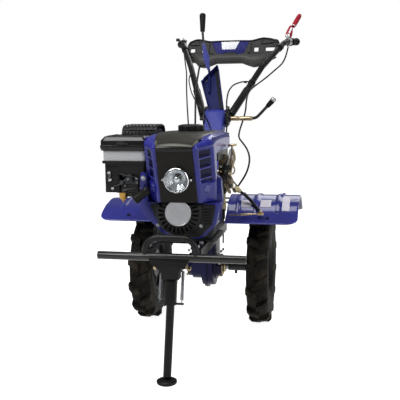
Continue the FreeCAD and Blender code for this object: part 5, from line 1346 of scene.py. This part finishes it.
def build_clamp_lever():
    """The quick clamp: a plated nut tube, a bent black arm and a knob with a bright end."""
    tube = lathe("nut_tube", (49.6, 240, 762), (1, 0, 0), [
        (0, 6.4), (0, 8.8), (1, 9.4), (44, 9.4), (46, 8.0), (50, 8.0), (52, 9.4), (98, 9.4), (100, 8.2),
        (100, 6.4), (0, 6.4),
    ], 32)
    fitted(tube, HANDLEBAR, "zinc", "clamp_lever", smooth=35)
    arm = bar("clamp_arm", [
        (128, 240, 762), (150, 240, 762.5), (166, 240, 765), (184, 239.2, 783), (210, 237.6, 811),
        (222, 236.9, 824),
    ], 6.0, 4)
    fitted(arm, HANDLEBAR, "black_paint", smooth=60)
    way = Vector((31, -2, 33))
    knob = lathe("clamp_knob", (209, 237.6, 809), way, [
        (0, 6.2), (0, 7.6), (3, 8.8), (12, 9.8), (28, 10.6), (34, 10.4), (37, 9.0), (37, 0),
    ], 28)
    fitted(knob, HANDLEBAR, "grip_rubber", smooth=40)
    cap = lathe(
        "clamp_cap", (209, 237.6, 809), way, [(32, 10.8), (37, 11.4), (42, 10.4), (45, 7), (45.6, 0)], 28,
    )
    fitted(cap, HANDLEBAR, "satin_alloy", slot="steel", smooth=40)
    disc = lathe("clamp_disc", (44, 240, 762), (1, 0, 0), [
        (0, 0), (0, 27), (5, 29), (10, 29), (12, 26), (12, 15), (17, 14), (17, 0),
    ], 40)
    fitted(disc, HANDLEBAR, "black_paint", smooth=40)
    tie = lathe("cable_tie", TUBE[0].lerp(TUBE[1], 0.66), TUBE[1] - TUBE[0], [
        (-7, 11.5), (-7, 14.6), (-5, 15.6), (5, 15.6), (7, 14.6), (7, 11.5), (-7, 11.5),
    ], 32)
    fitted(tie, HANDLEBAR, "cable_black", slot="black_plastic", smooth=40)
    tail = bar("loop_tail", [(95, 402, 913), (101, 416, 914), (109, 428, 913), (119, 436, 910)], 3.0)
    fitted(tail, HANDLEBAR, "cable_black", smooth=60)


PANEL = (-16.0, 742, 1056)
PANEL_LEAN = math.radians(24)
PANEL_OUT = (0, -math.cos(PANEL_LEAN), math.sin(PANEL_LEAN))


def on_panel(u, v, out=0.0):
    """A place on the moulded panel: across, up its leaning face, and out of its front."""
    x, y, z = PANEL
    t = -9.0 - out
    return (
        x + u, y + t * math.cos(PANEL_LEAN) + v * math.sin(PANEL_LEAN),
        z - t * math.sin(PANEL_LEAN) + v * math.cos(PANEL_LEAN),
    )


def build_panel():
    """The moulded panel with its hanging pouch, rolled shoulder edge and blank plate."""
    panel = eased("handle_panel", 3.0, "black_plastic", 30, 3)
    waste = pressing(
        "waste", [(150, -96), (262, -96), (262, 16), (224, 4), (178, -50), (158, -78)], 120,
        on_panel(0, 0, 0), (1, 0, 0), PANEL_OUT, 0,
    )
    only(panel)
    trim = panel.modifiers.new("corner_cut", "BOOLEAN")
    trim.operation = "DIFFERENCE"
    trim.object = waste
    bpy.ops.object.modifier_apply(modifier=trim.name)
    bpy.data.objects.remove(waste)
    low_line = [
        (-172, -44), (-160, -48), (-146, -66), (-116, -73), (-88, -64), (-60, -52), (0, -51), (60, -52),
        (88, -64), (116, -73), (146, -66), (164, -47), (190, -44),
    ]

    def lower_edge(u):
        for (u0, v0), (u1, v1) in zip(low_line, low_line[1:]):
            if u <= u1:
                return v0 + (v1 - v0) * (u - u0) / (u1 - u0)
        return low_line[-1][1]

    deselect()
    bpy.ops.mesh.primitive_grid_add(x_subdivisions=60, y_subdivisions=10, size=2)
    pouch = named("panel_pouch")
    mesh = edit(pouch)
    for point in mesh.verts:
        share = (point.co.y + 1) / 2
        u = 9 + 177 * point.co.x
        low = lower_edge(u) + 3
        high = -12 - 6 * math.cos(math.pi * point.co.x * 3) * 0.5
        v = low + (high - low) * share
        ends = max(0.0, 1 - abs(point.co.x) ** 8)
        out = 17.0 * ends * math.sin(math.pi * min(max(share, 0.0), 1.0)) ** 0.7 * (0.75 + 0.25 * (1 - share))
        point.co = place(*on_panel(u, v, out))
    leave_edit()
    only(pouch)
    wall = pouch.modifiers.new("pouch_wall", "SOLIDIFY")
    wall.thickness = 0.003
    wall.offset = 0.0
    bpy.ops.object.modifier_apply(modifier=wall.name)
    fitted(pouch, HANDLEBAR, "pouch_grey", slot="black_plastic", smooth=60)
    shoulder = [
        (-198, 40), (-192, 58), (-155, 70), (-118, 60), (-97, 55), (-60, 57), (0, 57), (60, 57),
        (97, 55), (118, 60), (155, 70), (212, 60), (224, 44),
    ]
    ridges = []
    for rise, radius, run in (
        (1.5, 3.4, shoulder),
        (0.5, 2.4, [(98, 46), (100, 10), (98, -6), (70, -12)]),
        (0.5, 2.4, [(-98, 46), (-100, 10), (-98, -6), (-70, -12)]),
        (1.0, 3.0, [(145, 40), (176, 36), (206, 46)]),
        (1.0, 3.0, [(-145, 40), (-170, 36), (-190, 40)]),
    ):
        ridges.append(bar("ridge", [on_panel(u, v, rise) for u, v in run], radius, 2))
    fitted(joined("panel_ridges", ridges), HANDLEBAR, "black_plastic", smooth=60)
    plate = pressing(
        "blank_plate", [(-43, 0), (44, 0), (25, -41), (-38, -41)], 1.2, on_panel(0, 55, 1.0), (1, 0, 0),
        PANEL_OUT, 0.5,
    )
    fitted(plate, HANDLEBAR, "white_plate", slot="silver_plastic").name = "panel_blank_plate"
    bolts("panel_screws", HANDLEBAR, "heat_black", [
        (on_panel(u, v, 0.5), PANEL_OUT) for u, v in ((-196, 10), (216, 12), (150, 56), (-150, 56))
    ], 7, 3)


build_grips()
build_clutch_lever()
build_throttle()
build_clamp_lever()
build_panel()

# ---- gear lever and console --------------------------------------------------------------


def build_gear_console():
    """The gear lever with its knob and its foot rod, the console's brow, and a black strip painted as the
    shade on the inner face of the console's right wall.
    """
    knob_way = Vector((-4.5, 30, 94))
    knob = lathe("shift_knob", (-98.4, 484, 1134), knob_way, [
        (0, 6), (0, 9.2), (1.5, 10.2), (40, 12), (72, 13.8), (77, 13.4), (81, 10.4), (82, 6), (82, 0),
    ], 32)
    fitted(knob, CHASSIS, "grip_rubber", slot="black_plastic", smooth=40)
    stem = bar("shift_stem", [
        (-53, 388, 956), (-58, 412, 984), (-77, 442, 1040), (-94, 468, 1094), (-98.5, 484, 1140),
    ], 5.0, 4)
    fitted(stem, CHASSIS, "black_paint", "shift_lever", smooth=60)
    # The foot rod takes the console's darkened coat, painted shade, so it sinks into the channel's shade.
    foot_rod = bar(
        "shift_foot_rod", [(-38, 304, 868), (-44, 338, 906), (-50, 372, 940), (-54, 392, 962)], 4.6, 4,
    )
    fitted(foot_rod, CHASSIS, "console_blue", slot="blue_paint", smooth=60)

    def brow(column, row):
        ends = ((-67, 361, 910), (-17, 407, 964)) if row == 0 else ((-68.5, 344, 929), (-18.5, 388, 984))
        return ends[column]

    # The brow takes the same darkened coat, painted shade.
    plate = sheet("console_brow", 2, 2, brow, 1.6)
    fitted(plate, CHASSIS, "console_blue", slot="blue_paint", smooth=0)

    def trim(column, row):
        spot = Vector((29, 247, 801)).lerp(Vector((-18, 398, 958)), row / 11)
        return (spot.x - 13 * (1 - column), spot.y - 2.4 - column, spot.z + 1.2)

    # A black strip painted as the shade on the inner face of the console's right wall.
    strip = sheet("console_painted_shade_strip", 2, 12, trim, 2.4)
    fitted(strip, CHASSIS, "cable_black", slot="black_plastic", smooth=0)


build_gear_console()

# ---- mud guards --------------------------------------------------------------------------


def guard_line(top):
    """A guard's side view as a smooth run of places: flat lip, steep front, arch and tail."""
    corners = [
        (-200, 413), (-146, 441), (-120, top - 17), (-40, top), (60, top - 12), (128, top - 40),
        (180, 410), (208, 403),
    ]
    fine = []
    for (y0, z0), (y1, z1) in zip(corners, corners[1:]):
        for step in range(8):
            fine.append((y0 + (y1 - y0) * step / 8, z0 + (z1 - z0) * step / 8))
    fine.append(corners[-1])
    for _ in range(6):
        inner = [
            ((a[0] + 2 * b[0] + c[0]) / 4, (a[1] + 2 * b[1] + c[1]) / 4)
            for a, b, c in zip(fine, fine[1:], fine[2:])
        ]
        fine = [fine[0], *inner, fine[-1]]
    return fine


def guard_height(line, y):
    for (y0, z0), (y1, z1) in zip(line, line[1:]):
        if y <= y1:
            return z0 + (z1 - z0) * (y - y0) / (y1 - y0)
    return line[-1][1]


GUARD_INNER = 104
GUARD_WIDTH = 254
GUARD_FRONT = -200
GUARD_REAR = 208
BEAD_X = 354.5
HOLE_SPOT = (252, -176)


def guard_edge(x, back):
    """How far the guard's rounded outer corners draw in its front or rear edge."""
    reach = max(0.0, (x - 318.0) / 40.0)
    depth = 26.0 if back else 32.0
    return depth * (1 - math.sqrt(max(0.0, 1 - min(reach, 1.0) ** 2)))


def build_guard(side, label, top):
    """A pressed guard: ribs across its arch, a rolled bead round it and a drilled front lip whose hole is
    closed by a black cap, painted shade.
    """
    line = guard_line(top)
    deselect()
    bpy.ops.mesh.primitive_grid_add(x_subdivisions=64, y_subdivisions=56, size=2)
    guard = named(label + "_skin")
    mesh = edit(guard)
    for point in mesh.verts:
        x = GUARD_INNER + (GUARD_WIDTH - 0.5) * (point.co.x + 1) / 2
        front = GUARD_FRONT + guard_edge(x, False)
        rear = GUARD_REAR - guard_edge(x, True)
        y = front + (rear - front) * (point.co.y + 1) / 2
        z = guard_height(line, y)
        rise = 0.0
        for middle_x in (144, 208, 286):
            away = abs(x - middle_x)
            if away < 10:
                rise = max(rise, 4.0 * min(1.0, (10 - away) / 4))
        ends = min(1.0, max(0.0, (y + 158) / 12)) * min(1.0, max(0.0, (176 - y) / 12))
        point.co = place(side * x, y, z + rise * ends)
    leave_edit()
    only(guard)
    wall = guard.modifiers.new("sheet", "SOLIDIFY")
    wall.thickness = 0.0022
    wall.offset = 1.0 if side < 0 else -1.0
    bpy.ops.object.modifier_apply(modifier=wall.name)
    deselect()
    hole_z = guard_height(line, HOLE_SPOT[1])
    bpy.ops.mesh.primitive_cylinder_add(
        vertices=20, radius=0.0045, depth=0.03, location=place(side * HOLE_SPOT[0], HOLE_SPOT[1], hole_z),
    )
    drill = named("drill")
    only(guard)
    hole = guard.modifiers.new("hole", "BOOLEAN")
    hole.operation = "DIFFERENCE"
    hole.object = drill
    bpy.ops.object.modifier_apply(modifier=hole.name)
    bpy.data.objects.remove(drill)
    fitted(guard, CHASSIS, "guard_paint", label + "_fender", slot="blue_paint", smooth=40)
    rim = []
    for step in range(15):
        x = GUARD_INNER + GUARD_WIDTH * math.sin(math.pi / 2 * step / 14)
        y = GUARD_FRONT + guard_edge(x, False)
        rim.append((side * min(x, BEAD_X), y + 2.5, guard_height(line, y) - 2.6))
    for y in (-120, -80, -40, 0, 40, 80, 120, 150, 175):
        rim.append((side * BEAD_X, y, guard_height(line, y) - 2.6))
    for step in range(14, -1, -1):
        x = GUARD_INNER + GUARD_WIDTH * math.sin(math.pi / 2 * step / 14)
        y = GUARD_REAR - guard_edge(x, True)
        rim.append((side * min(x, BEAD_X), y - 2.5, guard_height(line, y) - 1.0))
    bead = bar("bead", rim, 3.3, 3)
    # The bead's paler blue is a painted highlight.
    fitted(bead, CHASSIS, "guard_bead", slot="blue_paint", smooth=60).name = label + "_guard_bead"
    if side > 0:
        tab = slab("tab", 276, 296, -152, -134, 436, 448)
        softened(tab, 2.5, 2)
        fitted(tab, CHASSIS, "guard_paint", slot="blue_paint").name = label + "_guard_tab"
    # A black cap closing the drilled hole; its closed centre is painted shade.
    hole_shade_cap = lathe("hole_shade_cap", (side * HOLE_SPOT[0], HOLE_SPOT[1], hole_z), (0, -0.5, 0.87), [
        (-3, 4.2), (0.6, 4.2), (0.8, 6.2), (2.2, 6.0), (2.4, 3.8), (1.0, 3.2), (1.0, 0),
    ], 20)
    fitted(hole_shade_cap, CHASSIS, "cable_black", slot="black_plastic", smooth=50).name = label + "_guard_hole_shade_cap"
    heads = []
    for x in (135, 285):
        for y in (-55, 55):
            heads.append(((side * (x + 8), y, guard_height(line, y) + 0.2), (0, 0, 1)))
    # The bolt heads take the bead's paler blue, a painted highlight.
    bolts(label + "_guard_bolts", CHASSIS, "guard_bead", heads, 10, 5, slot="blue_paint")


def sticker(name, side, top, x0, x1, y0, y1):
    """A bare vinyl sticker that follows the guard's skin."""
    line = guard_line(top)
    deselect()
    bpy.ops.mesh.primitive_grid_add(x_subdivisions=3, y_subdivisions=8, size=2)
    patch = named(name)
    mesh = edit(patch)
    for point in mesh.verts:
        y = y0 + (y1 - y0) * (point.co.y + 1) / 2
        x = x0 + (x1 - x0) * (point.co.x + 1) / 2
        point.co = place(side * x, y - 0.7, guard_height(line, y) + 0.9)
    leave_edit()
    only(patch)
    wall = patch.modifiers.new("film", "SOLIDIFY")
    wall.thickness = 0.0005
    bpy.ops.object.modifier_apply(modifier=wall.name)
    return fitted(patch, CHASSIS, "sticker", slot="silver_plastic")


LEFT_TOP = 491.0
RIGHT_TOP = 469.0
build_guard(1, "left", LEFT_TOP)
build_guard(-1, "right", RIGHT_TOP)
sticker("bare_sticker_inner", 1, LEFT_TOP, 152, 190, -133, -100)
sticker("bare_sticker_outer", 1, LEFT_TOP, 222, 260, -133, -98)
sticker("bare_strip", 1, LEFT_TOP, 300, 326, -142, -60)


# ---- finishes of the parts that keep their machined shape --------------------------------

SLOT_FINISH = {"lamp_chrome": "chrome"}
for node_name, node_object in frame["nodes"].items():
    slot_name = SLOT_OF[node_name]
    node_object.data.materials.clear()
    node_object.data.materials.append(FINISH[SLOT_FINISH.get(slot_name, slot_name)])

# ---- studio ------------------------------------------------------------------------------


def build_studio():
    """A pale floor and room that the camera sees as white, with the machine's soft shadow kept."""
    bpy.ops.object.select_all(action="DESELECT")
    bpy.ops.mesh.primitive_plane_add(size=40, location=(0, 0, 0))
    floor = named("studio_floor")
    material = bpy.data.materials.new("white_studio_sweep")
    material.use_nodes = True
    tree = material.node_tree
    shader = tree.nodes["Principled BSDF"]
    output = tree.nodes["Material Output"]
    shader.inputs["Base Color"].default_value = tint("#DCDCDC")
    shader.inputs["Roughness"].default_value = 0.9
    shader.inputs["Specular IOR Level"].default_value = 0.0
    path = add_node(tree, "ShaderNodeLightPath")
    lift = add_node(tree, "ShaderNodeMath", {"operation": "MULTIPLY"})
    tree.links.new(path.outputs["Is Camera Ray"], lift.inputs[0])
    lift.inputs[1].default_value = 0.87
    veil = add_node(tree, "ShaderNodeEmission", {"Color": tint("#FFFFFF")})
    tree.links.new(lift.outputs[0], veil.inputs["Strength"])
    lit = add_node(tree, "ShaderNodeAddShader")
    tree.links.new(shader.outputs[0], lit.inputs[0])
    tree.links.new(veil.outputs[0], lit.inputs[1])
    glow = add_node(tree, "ShaderNodeEmission", {"Color": tint("#FFFFFF"), "Strength": 1.0})
    seen = add_node(tree, "ShaderNodeMath", {"operation": "MAXIMUM"})
    tree.links.new(path.outputs["Is Glossy Ray"], seen.inputs[0])
    tree.links.new(path.outputs["Is Transmission Ray"], seen.inputs[1])
    mix = add_node(tree, "ShaderNodeMixShader")
    tree.links.new(seen.outputs[0], mix.inputs[0])
    tree.links.new(lit.outputs[0], mix.inputs[1])
    tree.links.new(glow.outputs[0], mix.inputs[2])
    tree.links.new(mix.outputs[0], output.inputs["Surface"])
    floor.data.materials.append(material)
    world = bpy.data.worlds.new("white_room")
    bpy.context.scene.world = world
    world.use_nodes = True
    tree = world.node_tree
    background = tree.nodes["Background"]
    background.inputs["Color"].default_value = tint("#FFFFFF")
    background.inputs["Strength"].default_value = 0.18
    white = add_node(tree, "ShaderNodeBackground", {"Color": tint("#FFFFFF"), "Strength": 1.0})
    path = add_node(tree, "ShaderNodeLightPath")
    mix = add_node(tree, "ShaderNodeMixShader")
    tree.links.new(path.outputs["Is Camera Ray"], mix.inputs[0])
    tree.links.new(background.outputs[0], mix.inputs[1])
    tree.links.new(white.outputs[0], mix.inputs[2])
    tree.links.new(mix.outputs[0], tree.nodes["World Output"].inputs["Surface"])


def soft_box(name, spot, target, size, power):
    """A large soft lamp."""
    lamp = bpy.data.lights.new(name, "AREA")
    lamp.shape = "RECTANGLE"
    lamp.size, lamp.size_y = size
    lamp.energy = power
    holder = bpy.data.objects.new(name, lamp)
    bpy.context.scene.collection.objects.link(holder)
    holder.location = spot
    holder.rotation_euler = (Vector(target) - Vector(spot)).to_track_quat("-Z", "Y").to_euler()


def build_camera():
    """The three-quarter front view from a little above the hood."""
    lens = bpy.data.cameras.new("front_view")
    lens.lens = 63.0
    lens.sensor_width = 36.0
    holder = bpy.data.objects.new("front_view", lens)
    bpy.context.scene.collection.objects.link(holder)
    holder.location = (0.486, -2.591 + AXLE_Y, 0.837)
    yaw, pitch, roll = math.radians(11.09), math.radians(8.12), math.radians(-0.52)
    forward = Vector((-math.sin(yaw) * math.cos(pitch), math.cos(yaw) * math.cos(pitch), -math.sin(pitch)))
    rotation = forward.to_track_quat("-Z", "Y").to_matrix().to_4x4() @ Matrix.Rotation(roll, 4, "Z")
    holder.rotation_euler = rotation.to_euler()
    bpy.context.scene.camera = holder


build_studio()
soft_box("key_light", (-1.9, -2.6, 2.6), (0, 0, 0.6), (1.4, 1.4), 52)
soft_box("fill_light", (2.6, -1.6, 1.5), (0, 0, 0.6), (1.0, 2.0), 26)
soft_box("top_light", (-0.3, -1.2, 3.3), (0, -0.3, 0.5), (2.4, 1.2), 66)
soft_box("rear_light", (0.6, 2.8, 2.4), (0, 0.2, 0.6), (2.0, 1.6), 26)
build_camera()
bpy.context.scene.view_settings.view_transform = "Standard"
